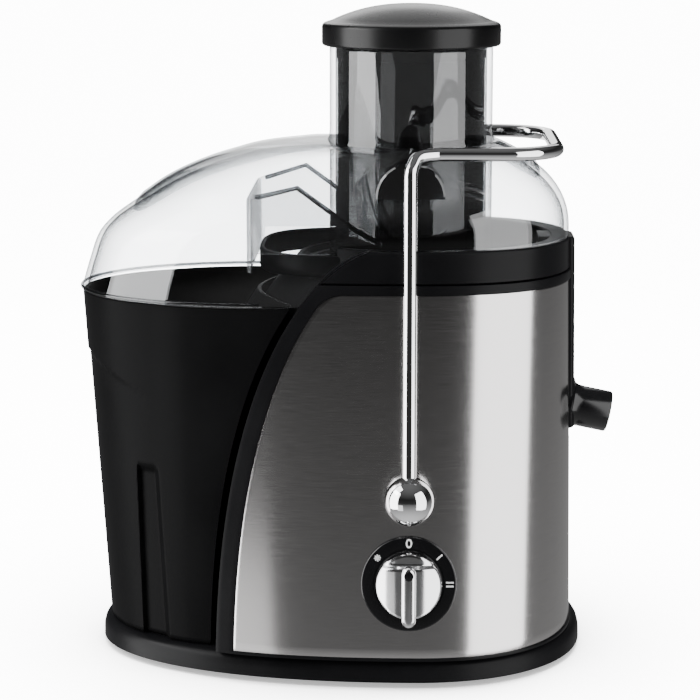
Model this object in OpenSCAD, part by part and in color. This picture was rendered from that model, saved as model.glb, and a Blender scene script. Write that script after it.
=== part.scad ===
// Centrifugal juicer: motor base with steel wrap, side pulp container, clear lid with feed
// tube, pusher, juice collector with spout, sieve basket and an over-centre locking bail.
// Millimetres, +Z up, -Y is the front (control side), +X is the spout side.

/* [Body] */
// Reach of the housing to the right of the drive axis at its foot
body_right = 85.3; // [84:0.1:87]
// Half depth of the housing at its foot
body_depth_low = 93; // [91:0.5:95]
// Half depth of the housing at its rim
body_depth_top = 72; // [71:0.5:74]
// Height of the housing rim above the table
rim_z = 201; // [199:1:203]
// Height of the lower edge of the housing
foot_z = 15; // [14.5:0.5:16]
// Wall of the plastic housing
housing_wall = 3; // [2.5:0.1:3.2]
// Thickness of the stainless wrap
steel_t = 0.8; // [0.6:0.1:1]

/* [Base] */
// Height of the top face of the base tray
tray_top = 14; // [13:0.5:14.5]
// Height of the rubber feet below the tray
feet_h = 3; // [2:0.5:4]
// Reach of the base tray to the left of the drive axis
tray_left = 163; // [162:0.5:165]

/* [Pulp container] */
// Reach of the container rim to the left of the drive axis
bin_left = 171; // [169:0.5:173]
// Height of the container rim
bin_top = 189; // [188:0.5:189.5]
// Half depth of the container
bin_depth = 70; // [68:0.5:71]
// Wall of the container
bin_wall = 2.2; // [1.8:0.1:2.6]

/* [Lid and feed tube] */
// Outside diameter of the clear feed tube
tube_d = 84; // [83:0.5:85]
// Wall of the feed tube
tube_wall = 3; // [2.6:0.1:3.2]
// Height of the top of the feed tube
tube_top = 314; // [310:1:316]
// Wall of the clear lid
lid_wall = 2.4; // [2:0.1:2.8]

/* [Bail] */
// Diameter of the bail wire
wire_d = 7; // [6:0.1:7.2]
// Height of the bail pivot
pivot_z = 98; // [96:0.5:100]
// Diameter of the pivot balls
ball_d = 24.5; // [23:0.5:25]

/* [Controls] */
// Diameter of the dial plate
dial_d = 47.5; // [45:0.5:49]
// Diameter of the speed knob
knob_d = 33; // [31:0.5:34]
// Height of the speed knob's axis at the face of the housing
knob_z = 54; // [52:0.5:56]

/* [Hidden] */

$fn = 72;
eps = 0.01;

// The drive axis sits off the middle of the whole object.
spout_tip = 107;
lid_overhang = 0.4;
drive_x = (bin_left + lid_overhang - spout_tip) / 2;

// Slopes of the body's walls.
body_h = rim_z - foot_z;
lean = atan((body_depth_low - body_depth_top) / body_h);
side_draft = 2.5;
body_left = 158;
face_at_knob = body_half_depth(knob_z);

function body_half_depth(z) =
    body_depth_low + (body_depth_top - body_depth_low) * (z - foot_z) / body_h;
function body_half_width(z) = body_right - side_draft * (z - foot_z) / body_h;

// A closed outline made of two superellipse halves: short to the right, long to the left.
function egg(right, left, depth, power_r, power_l, count = 96) = [
    for (i = [0 : count - 1])
        let (
            a = 360 * i / count,
            c = cos(a),
            s = sin(a),
            power = c >= 0 ? power_r : power_l,
            reach = c >= 0 ? right : left
        )
        [reach * sign(c) * pow(abs(c), 2 / power), depth * sign(s) * pow(abs(s), 2 / power)]
];

// Plan of the body at a height, drawn in from the outer skin by a wall.
function body_plan(z, wall = 0) =
    egg(body_half_width(z) - wall, body_left - wall, body_half_depth(z) - wall, 2.35, 2.4);

// The curve, seen from the front, along which housing, collector and lid meet the container.
split_reach = 97;
split_top = 221;
split_power = 2.2;
function split_x(z) =
    -split_reach * pow(1 - pow(min(z, split_top - eps) / split_top, split_power), 1 / split_power);

// A solid between stacked outlines that have the same number of points. Every outline can be
// seen whole from its first point, so the ends are closed by fans from that point.
module loft(levels) {
    n = len(levels[0][1]);
    count = len(levels);
    points = [for (level = levels) for (p = level[1]) [p[0], p[1], level[0]]];
    sides = [
        for (k = [0 : count - 2]) for (i = [0 : n - 1])
            let (j = (i + 1) % n)
            each [
                [k * n + i, (k + 1) * n + i, (k + 1) * n + j],
                [k * n + i, (k + 1) * n + j, k * n + j]
            ]
    ];
    top = (count - 1) * n;
    low = [for (i = [1 : n - 2]) [0, i, i + 1]];
    high = [for (i = [1 : n - 2]) [top, top + i + 1, top + i]];
    polyhedron(points, concat(low, sides, high), convexity = 6);
}

module placed() {
    translate([drive_x, 0, 0]) children();
}

module ring(outer_d, inner_d, height, z = 0) {
    translate([0, 0, z]) difference() {
        cylinder(d = outer_d, h = height);
        translate([0, 0, -eps]) cylinder(d = inner_d, h = height + 2 * eps);
    }
}

// The housing swells to the left in the middle of its depth and the container follows it.
bulge = 18;
bulge_half = 56;
split_steps = 18;
far = 130;
function bulge_at(y, amount) = abs(y) < bulge_half ? amount * cos(90 * y / bulge_half) : 0;

// The split surface at one height, as plan points from the rear to the front.
function split_line(z, gap, amount) = [
    for (i = [-7 : 7])
        let (y = i == -7 ? far : i == 7 ? -far : -i * bulge_half / 6)
        [split_x(z) + gap - bulge_at(y, amount), y]
];
function split_heights(low, high) =
    [for (i = [0 : split_steps]) low + (high - low) * sin(90 * i / split_steps)];

// Everything to the right of the split surface, moved by a gap.
module right_of_split(gap = 0, low = 0, high = 220.5) {
    loft([
        for (z = split_heights(low, high))
            [z, concat([[far, -far], [far, far]], split_line(z, gap, bulge))]
    ]);
}

// Everything to the left of the split surface, moved by a gap.
module left_of_split(gap, low, high) {
    loft([
        for (z = split_heights(low, high))
            let (line = split_line(z, -gap, bulge))
            [z, concat([[-200, far], [-200, -far]], [for (i = [14 : -1 : 0]) line[i]])]
    ]);
}

// The same curve cut straight through from front to rear: the part above the container's rim.
module arc_region(gap, low, high, side) {
    heights = split_heights(low, high);
    curve = [for (z = heights) [split_x(z) + gap, z]];
    rotate([90, 0, 0]) linear_extrude(2 * far, center = true)
        polygon(concat([[side * far, low]], curve, [[side * far, high]]));
}

// ---------------------------------------------------------------- base

function tray_plan(inset = 0) = egg(90.5 - inset, tray_left - inset, 91.5 - inset, 2.15, 2.2);

foot_spots = [[-128, -36], [-128, 36], [50, -56], [50, 56]];
foot_peg_d = 5;
tray_screw_spots = [[-58, -74], [-58, 74], [64, -50], [64, 50], [0, 80]];
screw_d = 3.5;
tray_wall = 4;
tray_t = 3;
motor_room_d = 110;

// Puts its children at every spot of a list.
module at_each(spots, z = 0) {
    for (p = spots) translate([p[0], p[1], z]) children();
}

module tray_holes() {
    at_each(tray_screw_spots) cylinder(d = screw_d + 0.6, h = 40, $fn = 24);
    at_each(foot_spots) cylinder(d = foot_peg_d, h = 40, $fn = 24);
}

module base_tray() placed() color("#1b1b1c") difference() {
    union() {
        translate([0, 0, feet_h]) linear_extrude(tray_top - feet_h - tray_t) polygon(tray_plan());
        translate([0, 0, tray_top - tray_t]) linear_extrude(tray_t) polygon(tray_plan(2));
    }
    translate([0, 0, feet_h - eps]) linear_extrude(tray_top - feet_h - tray_t)
        polygon(tray_plan(tray_wall));
    translate([0, 0, tray_top - tray_t - 2 * eps]) cylinder(d = motor_room_d, h = tray_t + 1);
    tray_holes();
}

cover_t = 2.2;
cover_z = feet_h + 0.4;
vent_radii = [16, 24, 32, 40];
vent_w = 3.6;
module base_cover() placed() color("#242425") difference() {
    translate([0, 0, cover_z]) linear_extrude(cover_t) polygon(tray_plan(tray_wall + 0.4));
    for (r = vent_radii)
        for (k = [0 : 5])
            rotate(60 * k) rotate_extrude(angle = 44, $fn = 60) translate([r, feet_h]) square([vent_w, 4]);
    tray_holes();
}

module rubber_feet() placed() color("#2c2c2c") at_each(foot_spots) {
    cylinder(d1 = 15, d2 = 17, h = cover_z, $fn = 40);
    cylinder(d = foot_peg_d, h = cover_z + cover_t, $fn = 24);
    translate([0, 0, cover_z + cover_t]) cylinder(d = foot_peg_d + 3, h = 1.4, $fn = 24);
}

// Screws driven up through the cover and tray into the bosses of the housing.
screw_head_d = 7;
screw_slot = [4, 0.9];
module base_screws() placed() color("#9a9a98") at_each(tray_screw_spots) {
    translate([0, 0, feet_h - 1.6]) difference() {
        cylinder(d = screw_head_d, h = 2, $fn = 32);
        for (a = [0, 90])
            rotate(a) translate([0, 0, -eps]) linear_extrude(1.2) square(screw_slot, center = true);
    }
    translate([0, 0, feet_h]) cylinder(d = screw_d, h = 22, $fn = 24);
}

// Round gland in the rear wall where the mains cord enters, square to the leaning wall.
gland_z = 30;
gland_x = -30;
gland_y = body_half_depth(gland_z) * pow(1 - pow(-gland_x / body_left, 2.4), 1 / 2.4);
gland_hole = 11.2;
gland_flange = 15;
gland_out = 3.5;
gland_length = 11;
gland_grip = 4.8;
cord_d = 7;
module on_gland_axis() {
    translate([gland_x, gland_y, gland_z]) rotate([90 + lean, 0, 0]) children();
}

module cord_grommet() placed() color("#161616") on_gland_axis() difference() {
    union() {
        translate([0, 0, -gland_out]) cylinder(d = gland_flange, h = gland_out + 0.3, $fn = 48);
        translate([0, 0, -gland_out]) cylinder(d = gland_hole - 0.2, h = gland_length, $fn = 48);
        translate([0, 0, gland_grip])
            cylinder(d = gland_flange - 1, h = gland_length - gland_out - gland_grip, $fn = 48);
    }
    translate([0, 0, -gland_out - 1]) cylinder(d = cord_d, h = gland_length + 2, $fn = 32);
}

// ---------------------------------------------------------------- housing

deck_z = 112;
deck_t = 3;
well_right = 76;
well_left = 59.8;
well_depth = 66.5;
well_power = 2.2;
slot_half = 13;
skin = steel_t + 0.2;
inner_wall = housing_wall + skin;
slot_x = 60;
tower_d = 44;
tower_h = 14;
shoulder_x = 22;
shoulder_top = 190;
shoulder_half = 62;
knob_hole_d = 11;
motor_thread_d = 4;
seal_d = 30;

module body_solid(wall, low, high) {
    loft([[low, body_plan(low, wall)], [high, body_plan(high, wall)]]);
}

// Slot on the right of the housing that the spout hangs in, widened by an amount.
module spout_slot(grow, low) {
    translate([slot_x, -slot_half - grow, low]) cube([slot_x, 2 * (slot_half + grow), 120]);
}

function well_plan(grow = 0) =
    egg(well_right + grow, well_left + grow, well_depth + grow, well_power, well_power);

// Area of the wrap: the skin of the housing less its frame at the rim and at the left ends.
frame_w = 9;
frame_top = 5;
module wrap_zone() {
    difference() {
        right_of_split(frame_w, 0, rim_z - frame_top);
        spout_slot(2.5, deck_z);
    }
}

// Round openings through the wrap: the two pivots, the knob's axis and the cord's gland.
module skin_holes(pivot_hole, knob_hole, gland_d) {
    for (side = [-1, 1])
        translate([0, side * 110, pivot_z]) rotate([side * 90, 0, 0])
            cylinder(d = pivot_hole, h = 50, $fn = 48);
    translate([0, -face_at_knob, knob_z]) rotate([90 - lean, 0, 0])
        translate([0, 0, -15]) cylinder(d = knob_hole, h = 40, $fn = 40);
    on_gland_axis() translate([0, 0, -6]) cylinder(d = gland_d, h = 20, $fn = 48);
}

motor_screw_r = 44;
motor_screw_spots = [for (k = [0 : 3]) motor_screw_r * [cos(45 + 90 * k), sin(45 + 90 * k)]];
boss_h = 20;
bush_d = 14;
post_d = 12;
post_h = 11.2;

module motor_housing() placed() color("#1a1a1b") difference() {
    union() {
        difference() {
            intersection() {
                body_solid(0, foot_z, rim_z);
                right_of_split();
            }
            // recess that takes the steel wrap
            intersection() {
                difference() {
                    body_solid(-5, foot_z - 1, rim_z - frame_top);
                    body_solid(skin, foot_z - 2, rim_z);
                }
                wrap_zone();
            }
            // motor room below the deck
            intersection() {
                body_solid(inner_wall, foot_z - 1, deck_z);
                right_of_split(housing_wall, 0, deck_z);
            }
            // hollow of the left shoulder, beside the wall of the well
            difference() {
                intersection() {
                    translate([-far, -shoulder_half, deck_z - 1])
                        cube([far - shoulder_x, 2 * shoulder_half, shoulder_top - deck_z + 1]);
                    right_of_split(housing_wall, 0, shoulder_top + 1);
                }
                translate([0, 0, deck_z - 2]) linear_extrude(100) polygon(well_plan(housing_wall));
            }
            // well above the deck for the collector
            translate([0, 0, deck_z + deck_t]) linear_extrude(120) polygon(well_plan());
            spout_slot(0, deck_z + deck_t);
        }
        // screw bosses, each tied to the wall by a rib
        intersection() {
            body_solid(1.2, foot_z - 1, foot_z + boss_h);
            at_each(tray_screw_spots, tray_top + 0.2) cylinder(d = screw_d + 5.5, h = boss_h, $fn = 32);
        }
        intersection() {
            body_solid(1.2, foot_z - 1, foot_z + boss_h);
            for (p = tray_screw_spots)
                translate([p[0], p[1], tray_top + 1])
                    rotate(atan2(p[1], p[0])) translate([0, -1.5, 0]) cube([24, 3, boss_h - 1]);
        }
        at_each(motor_screw_spots, deck_z - post_h) cylinder(d = post_d, h = post_h + 0.8, $fn = 32);
        translate([0, 0, deck_z]) cylinder(d = tower_d, h = tower_h, $fn = 64);
    }
    at_each(tray_screw_spots) cylinder(d = screw_d, h = 26, $fn = 24);
    at_each(motor_screw_spots, deck_z - 12) cylinder(d = motor_thread_d, h = 12, $fn = 24);
    translate([0, 0, deck_z - 1]) cylinder(d = seal_d, h = 20, $fn = 64);
    skin_holes(bush_d, knob_hole_d, gland_hole);
}

module steel_wrap() placed() color("#b9b6b2") difference() {
    intersection() {
        difference() {
            body_solid(0.05, foot_z + 0.3, rim_z - frame_top - 0.4);
            body_solid(0.05 + steel_t, foot_z, rim_z);
        }
        right_of_split(frame_w + 0.4, 0, rim_z - frame_top - 0.4);
    }
    spout_slot(3, deck_z - 0.4);
    skin_holes(bush_d + 1, knob_hole_d + 1, gland_flange + 1);
}

// ---------------------------------------------------------------- controls

// Puts its children on the axis of the knob, +Z pointing out of the leaning face.
module on_knob_axis() {
    placed() translate([0, -face_at_knob, knob_z]) rotate([90 - lean, 0, 0]) children();
}

dial_t = 1.6;
switch_shaft_d = 6;
module dial_plate() color("#0c0c0d") on_knob_axis() translate([0, 0, 0.15]) ring(dial_d, 12, dial_t);

knob_h = 15;
knob_disc_h = 7;
grip_w = 7.6;
module speed_knob() color("#c9c9ca") on_knob_axis() translate([0, 0, dial_t + 0.6]) difference() {
    union() {
        cylinder(d = knob_d, h = knob_disc_h);
        intersection() {
            cylinder(d = knob_d + 4, h = knob_h);
            translate([-grip_w / 2, -knob_d / 2 - 2, 0]) cube([grip_w, knob_d + 2, knob_h]);
        }
    }
    translate([0, 0, -eps]) cylinder(d = switch_shaft_d + 0.1, h = 9, $fn = 40);
    translate([0, 0, -eps]) cylinder(d = 19, h = 3, $fn = 48);
}

switch_w = 30;
switch_t = 16;
switch_neck_d = 9;
module rotary_switch() color("#3a3632") on_knob_axis() {
    translate([-switch_w / 2, -switch_w / 2, -switch_t - 8]) cube([switch_w, switch_w, switch_t]);
    translate([0, 0, -9]) cylinder(d = switch_neck_d, h = 13, $fn = 40);
}

module switch_spindle() color("#a8a8a4") on_knob_axis()
    translate([0, 0, 4.2]) cylinder(d = switch_shaft_d, h = 6.6, $fn = 40);

module switch_nut() color("#b8b29a") on_knob_axis() difference() {
    translate([0, 0, dial_t + 0.2]) cylinder(d = switch_neck_d + 6, h = 2, $fn = 6);
    cylinder(d = switch_neck_d + 0.1, h = 5, $fn = 40);
}

// ---------------------------------------------------------------- bail

ball_y = body_half_depth(pivot_z) + 12;
loop_z = 265;
loop_y = 60;
loop_reach = 73.5;
corner_r = 45;
leg_top = [0, 70.5, 256];
arm_start = [16, loop_y, loop_z];

socket = 4.5;
leg_tilt = atan((ball_y - leg_top[1]) / (leg_top[2] - pivot_z));
leg_dir = [0, -sin(leg_tilt), cos(leg_tilt)];
leg_foot = [0, ball_y, pivot_z] + socket * leg_dir;

// Points of a smooth bend between two straight runs.
function bend(a, b, c, d, steps = 8) = [
    for (i = [0 : steps])
        let (t = i / steps, u = 1 - t)
        u * u * u * a + 3 * u * u * t * b + 3 * u * t * t * c + t * t * t * d
];

// The bail's centre line: up the rear leg, over, along the arm and around the corner.
corner_steps = 12;
half_line = concat(
    [leg_foot],
    bend(leg_top, leg_top + 10 * leg_dir, arm_start - [11, 0, 0], arm_start),
    [
        for (i = [0 : corner_steps])
            let (a = 90 - 90 * i / corner_steps)
            [loop_reach - corner_r + corner_r * cos(a), loop_y - corner_r + corner_r * sin(a), loop_z]
    ]
);
function mirrored(p) = [p[0], -p[1], p[2]];
bail_line = concat(half_line, [for (i = [len(half_line) - 1 : -1 : 0]) mirrored(half_line[i])]);

// A round wire swept along a line. The reference direction is never along the line.
wire_sides = 24;
sweep_ref = [-0.6, 0.35, 0.72];
function unit(v) = v / norm(v);
function line_dir(line, i) =
    let (last = len(line) - 1)
    unit(line[min(i + 1, last)] - line[max(i - 1, 0)]);
function wire_ring(line, i) =
    let (
        along = line_dir(line, i),
        across = unit(cross(along, sweep_ref)),
        other = cross(along, across)
    )
    [for (k = [0 : wire_sides - 1])
        let (a = 360 * k / wire_sides)
        line[i] + wire_d / 2 * (cos(a) * across + sin(a) * other)];

module bail() placed() color("#d0d0d2") {
    count = len(bail_line);
    points = [for (i = [0 : count - 1]) each wire_ring(bail_line, i)];
    sides = [
        for (i = [0 : count - 2]) for (k = [0 : wire_sides - 1])
            let (
                j = (k + 1) % wire_sides,
                low = i * wire_sides,
                high = low + wire_sides
            )
            each [[low + k, high + k, high + j], [low + k, high + j, low + j]]
    ];
    last = (count - 1) * wire_sides;
    first_cap = [for (k = [1 : wire_sides - 2]) [0, k, k + 1]];
    last_cap = [for (k = [1 : wire_sides - 2]) [last, last + k + 1, last + k]];
    polyhedron(points, concat(first_cap, sides, last_cap), convexity = 6);
}

module pivot_balls() placed() color("#d6d6d8") for (side = [-1, 1])
    translate([0, side * ball_y, pivot_z]) difference() {
        sphere(d = ball_d);
        rotate([side * 90, 0, 0]) translate([0, 0, socket]) cylinder(d = pin_d, h = 40, $fn = 32);
        rotate([side * leg_tilt, 0, 0]) translate([0, 0, socket]) cylinder(d = wire_d, h = 40, $fn = 24);
    }

// Each pin carries its ball outside, and a clip (and at the front the interlock cam) inside.
pin_d = 6;
pin_inner = body_half_depth(pivot_z) - 22;
pin_length = ball_y - socket - pin_inner;
groove_at = 1.5;
module on_pin(side) {
    translate([0, side * pin_inner, pivot_z]) rotate([-side * 90, 0, 0]) children();
}

module pivot_pins() placed() color("#8d8d8c") for (side = [-1, 1]) on_pin(side) difference() {
    cylinder(d = pin_d, h = pin_length, $fn = 32);
    ring(pin_d + 2, 4.6, 1.1, groove_at);
}

module pivot_clips() placed() color("#6a6a68") for (side = [-1, 1]) on_pin(side)
    ring(11, 4.7, 0.8, groove_at + 0.15);

bush_at = 22 - inner_wall - 1.1;
module pivot_bushes() placed() color("#c8b070") for (side = [-1, 1]) on_pin(side) difference() {
    union() {
        translate([0, 0, bush_at]) cylinder(d = bush_d, h = 5.2, $fn = 48);
        translate([0, 0, bush_at - 1.5]) cylinder(d = 17, h = 1.5, $fn = 48);
    }
    cylinder(d = pin_d + 0.1, h = 40, $fn = 32);
}

// Cam on the front pin that holds the interlock switch closed while the bail is up.
module safety_cam() placed() color("#3b3b3d") on_pin(-1) difference() {
    union() {
        translate([0, 0, 4]) cylinder(d = 13, h = 5, $fn = 40);
        translate([-3, 0, 4]) cube([6, 9, 5]);
    }
    cylinder(d = pin_d, h = 40, $fn = 32);
}

module safety_switch() placed() color("#26282c")
    translate([-10, -pin_inner - 10, pivot_z - 20]) cube([20, 6.4, 10.4]);

// ---------------------------------------------------------------- juice collector

bowl_floor = 118;
bowl_wall = 2.4;
bowl_right = 74.5;
bowl_left = 59.2;
bowl_depth = 65;
band_top = 217.6;
apron_face = 84.6;
spout_d = 21.5;
spout_bore = 17.1;
spout_slope = 11.6;
spout_start = [60, 0, 132];
chimney_d = 50;
mouth_low = 201.6;
mouth_high = 213;
mouth_sill = 206;

function bowl_plan(inset = 0) = egg(bowl_right - inset, bowl_left - inset, bowl_depth - inset, 2.2, 2.2);

// Plan of the mouth that throws the pulp over the rim of the container.
function mouth_plan(inset = 0) = egg(20 - inset, 78 - inset, 56 - inset, 2.2, 3.2);

module spout_axis() {
    translate(spout_start) rotate([0, 90 + spout_slope, 0]) children();
}

module collector_solid() difference() {
    union() {
        // bowl that hangs in the well
        translate([0, 0, bowl_floor]) linear_extrude(band_top - bowl_floor) polygon(bowl_plan());
        // band that carries on the skin of the body up to the lid
        intersection() {
            body_solid(0.4, rim_z + 0.4, band_top);
            arc_region(0.5, 190, band_top, 1);
        }
        // apron behind the spout
        translate([66, -slot_half + 0.8, bowl_floor])
            cube([apron_face - 66, 2 * slot_half - 1.6, band_top - bowl_floor]);
        translate([0, 0, mouth_low]) linear_extrude(mouth_high - mouth_low) polygon(mouth_plan());
    }
    difference() {
        translate([0, 0, bowl_floor + 3]) linear_extrude(120) polygon(bowl_plan(bowl_wall));
        translate([0, 0, bowl_floor]) cylinder(d = chimney_d, h = 12);
    }
    translate([0, 0, bowl_floor - 1]) cylinder(d = chimney_d - 5, h = 20);
    spout_axis() translate([0, 0, -eps]) cylinder(d = spout_bore, h = 80);
    // room inside the mouth: all of it above the sill, and beside the bowl below it
    translate([0, 0, mouth_sill]) linear_extrude(40) polygon(mouth_plan(bowl_wall));
    difference() {
        translate([0, 0, mouth_low - 1]) linear_extrude(mouth_sill - mouth_low + 2)
            polygon(mouth_plan(bowl_wall));
        translate([0, 0, mouth_low - 2]) linear_extrude(mouth_sill - mouth_low + 4)
            polygon(bowl_plan(0.3));
    }
}

// The moulding is given as three nodes that meet on level planes: the rim with its mouth, the wall
// of the bowl, and its floor with the spout's root.
rim_cut = 201;
floor_cut = 142;
module collector_part(low, high) intersection() {
    collector_solid();
    translate([-150, -100, low]) cube([300, 200, high - low]);
}

module juice_collector() placed() color("#1d1d1e") collector_part(rim_cut, band_top + 10);
module collector_bowl() placed() color("#1d1d1e") collector_part(floor_cut, rim_cut);
module collector_floor() placed() color("#1d1d1e") collector_part(bowl_floor - 10, floor_cut);

// Outer length of the spout, square to its axis at the tip and flat against the apron.
module juice_spout() placed() color("#1d1d1e") difference() {
    spout_axis() ring(spout_d, spout_bore, (spout_tip - spout_start[0]) / cos(spout_slope) - 2.2);
    translate([apron_face + 0.02 - 60, -20, 100]) cube([60, 40, 60]);
}

// ---------------------------------------------------------------- basket

basket_floor = 144;
disc_d = 86;
disc_t = 1.2;
mesh_low_d = 90;
mesh_top_d = 104;
mesh_top = 196;
mesh_t = 0.6;
rim_top = 204;
coupling_d = 24;
hub_low = 127;
hub_d = 36;

// Conical sieve, closed and held by the plastic rim.
module filter_mesh() placed() color("#b3b3ae") difference() {
    translate([0, 0, basket_floor])
        cylinder(d1 = mesh_low_d, d2 = mesh_top_d, h = mesh_top - basket_floor, $fn = 96);
    translate([0, 0, basket_floor - eps])
        cylinder(
            d1 = mesh_low_d - 2 * mesh_t,
            d2 = mesh_top_d - 2 * mesh_t,
            h = mesh_top - basket_floor + 2 * eps,
            $fn = 96
        );
}

rim_r = mesh_top_d / 2;
module basket_rim() placed() color("#2a2a2b") rotate_extrude($fn = 96) polygon([
    [rim_r - 2.4, mesh_top + 0.02],
    [rim_r + 1.6, mesh_top + 0.02],
    [rim_r + 1.6, mesh_top + 3],
    [rim_r + 2.6, rim_top - 2],
    [rim_r + 2.6, rim_top],
    [rim_r - 0.4, rim_top],
    [rim_r - 1.4, mesh_top + 3]
]);

// Grater plate with rows of small raised teeth.
tooth_rings = [14, 20, 26, 32, 38];
module grater_disc() placed() color("#c4c4c2") {
    ring(disc_d, 9, disc_t, basket_floor);
    for (k = [0 : 4])
        for (i = [0 : 7])
            rotate(45 * i + 9 * k) translate([tooth_rings[k], 0, basket_floor + disc_t - eps])
                cylinder(d1 = 1.8, d2 = 0.5, h = 1.1, $fn = 8);
}

module basket_hub() placed() color("#202021") difference() {
    union() {
        translate([0, 0, basket_floor - 3]) cylinder(d = mesh_low_d, h = 2.98, $fn = 96);
        translate([0, 0, hub_low]) cylinder(d = hub_d, h = basket_floor - hub_low - 1);
        translate([0, 0, basket_floor - 1]) cylinder(d = 8.9, h = 4, $fn = 40);
    }
    translate([0, 0, hub_low - 1]) cylinder(d = coupling_d, h = 14);
}

// ---------------------------------------------------------------- lid, tube, pusher

tube_bottom = 152;
dome_foot = 189.8;
lid_edge = 218;

// Height, then the reach of the lid's outer skin to the right, to the left and to the front,
// then how far left its rounded left end is centred: first the skirt over the container, then
// the dome.
lid_levels = [
    [dome_foot, 82, bin_left + lid_overhang, 70.5, 75],
    [204, 82, 167.2, 70, 73],
    [lid_edge, 82, 162, 69, 68],
    [226, 81.8, 155, 68.3, 62],
    [232, 80.8, 147, 66.8, 55],
    [238, 78.6, 138, 64.2, 47],
    [244, 75, 129.5, 61, 38],
    [250, 69.7, 118.5, 56.8, 28],
    [256, 62, 104, 51.5, 17],
    [260, 55, 91, 47.5, 10],
    [264, 47, 76, 44.4, 4]
];

function lid_plan(level, wall = 0) = [
    for (p = egg(level[1] - wall, level[2] - level[4] - wall, level[3] - wall, 2.3, 2.08, 64))
        p[0] < -eps ? p - [level[4], 0] : p
];

module lid_solid(wall, low = 0) {
    loft([
        for (k = [0 : len(lid_levels) - 1])
            let (level = lid_levels[k])
            [level[0] - (k == 0 ? low : k > 2 ? wall : 0), lid_plan(level, wall)]
    ]);
}

// Arched boss in front of and behind the tube, over which the bail snaps.
saddle_out = 63.4;
saddle_in = 40;
saddle_r = 17;
saddle_foot = 240;
saddle_top = loop_z - wire_d / 2 - 1;

module saddles() {
    for (side = [0, 1]) mirror([0, side, 0]) {
        translate([0, saddle_out, saddle_top - saddle_r]) rotate([90, 0, 0])
            cylinder(r = saddle_r, h = saddle_out - saddle_in);
        translate([-16, saddle_in, saddle_foot]) cube([32, saddle_out - saddle_in - 1, 6]);
    }
}

module lid() placed() color("#dfe6ea", 0.35) difference() {
    union() {
        difference() {
            lid_solid(0);
            lid_solid(lid_wall, 1);
            arc_region(-0.3, dome_foot - 2, lid_edge, 1);
        }
        saddles();
    }
    translate([0, 0, tube_bottom]) cylinder(d = tube_d + 0.04, h = 200, $fn = 96);
}

module feed_tube() placed() color("#dfe6ea", 0.35)
    ring(tube_d, tube_d - 2 * tube_wall, tube_top - tube_bottom, tube_bottom);

pusher_d = tube_d - 2 * tube_wall - 2.4;
pusher_bottom = 156;
module pusher() placed() color("#19191a") difference() {
    translate([0, 0, pusher_bottom]) cylinder(d = pusher_d, h = tube_top + 3 - pusher_bottom, $fn = 96);
    translate([0, 0, pusher_bottom + 3]) cylinder(d = pusher_d - 5, h = 200, $fn = 96);
}

cap_d = 92;
cap_edge = tube_top + 0.6;
cap_top = 336;
module pusher_cap() placed() color("#3a3a3b") rotate_extrude($fn = 96) polygon([
    [0, cap_edge + 3], [pusher_d / 2 - 2.6, cap_edge + 3], [pusher_d / 2 - 2.6, cap_edge - 8],
    [pusher_d / 2 - 4.4, cap_edge - 8], [pusher_d / 2 - 4.4, cap_edge + 5], [0, cap_edge + 5],
    [0, cap_top], [14, cap_top - 0.2], [28, cap_top - 1.6], [38, cap_top - 4.6], [43, cap_top - 8],
    [44.6, cap_top - 9], [cap_d / 2, cap_top - 11], [cap_d / 2, cap_edge + 1], [cap_d / 2 - 1, cap_edge],
    [pusher_d / 2 + 0.02, cap_edge], [pusher_d / 2 + 0.02, cap_edge + 2.42], [0, cap_edge + 2.42]
]);

// ---------------------------------------------------------------- pulp container

bin_foot = tray_top + 0.3;
bin_centre = -75;
bin_gap = 4;
function bin_plan(z, wall = 0) =
    let (reach = bin_left + bin_centre - (bin_top - z) * 11 / 173)
    [for (p = egg(60, reach - wall, bin_depth - wall, 2.1, 2.05)) p + [bin_centre, 0]];

module bin_solid(wall, low, high) {
    intersection() {
        loft([[low, bin_plan(low, wall)], [high, bin_plan(high, wall)]]);
        left_of_split(bin_gap + wall, low, high);
    }
}

module pulp_container() placed() color("#19191a") difference() {
    bin_solid(0, bin_foot, bin_top);
    bin_solid(bin_wall, bin_foot + bin_wall, bin_top + 1);
}

// ---------------------------------------------------------------- drive

shaft_d = 8;
bearing_d = 22;
upper_z = 96;
lower_z = 32;
bearing_h = 7;
core_low = 54;
core_h = 34;
core_d = 46;
stator_d = 82;

module motor_shaft() placed() color("#a9a9aa")
    translate([0, 0, 21]) cylinder(d = shaft_d, h = 109);

// Splined coupling on the top of the shaft, on a neck that clears the seal.
coupling_z = 128;
spline_root_d = 20;
coupling_h = 9;
neck_d = 14;
neck_h = 3.5;
splines = 6;
module drive_coupling() placed() color("#232324") difference() {
    union() {
        translate([0, 0, coupling_z]) cylinder(d = spline_root_d, h = coupling_h);
        for (k = [0 : splines - 1])
            rotate(360 / splines * k) translate([8, -1.6, coupling_z]) cube([3.6, 3.2, coupling_h]);
        translate([0, 0, coupling_z - neck_h]) cylinder(d = neck_d, h = neck_h + eps);
    }
    translate([0, 0, 121]) cylinder(d = shaft_d, h = 9 + eps);
}

core_slots = 12;
slot_w = 3;
slot_reach = 7;
module armature_core() placed() color("#77736c") difference() {
    translate([0, 0, core_low]) cylinder(d = core_d, h = core_h);
    translate([0, 0, core_low - 1]) cylinder(d = shaft_d, h = core_h + 2);
    for (k = [0 : core_slots - 1])
        rotate(360 / core_slots * k) translate([core_d / 2 - slot_reach, -slot_w / 2, core_low - 1])
            cube([slot_reach + 1, slot_w, core_h + 2]);
}

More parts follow.
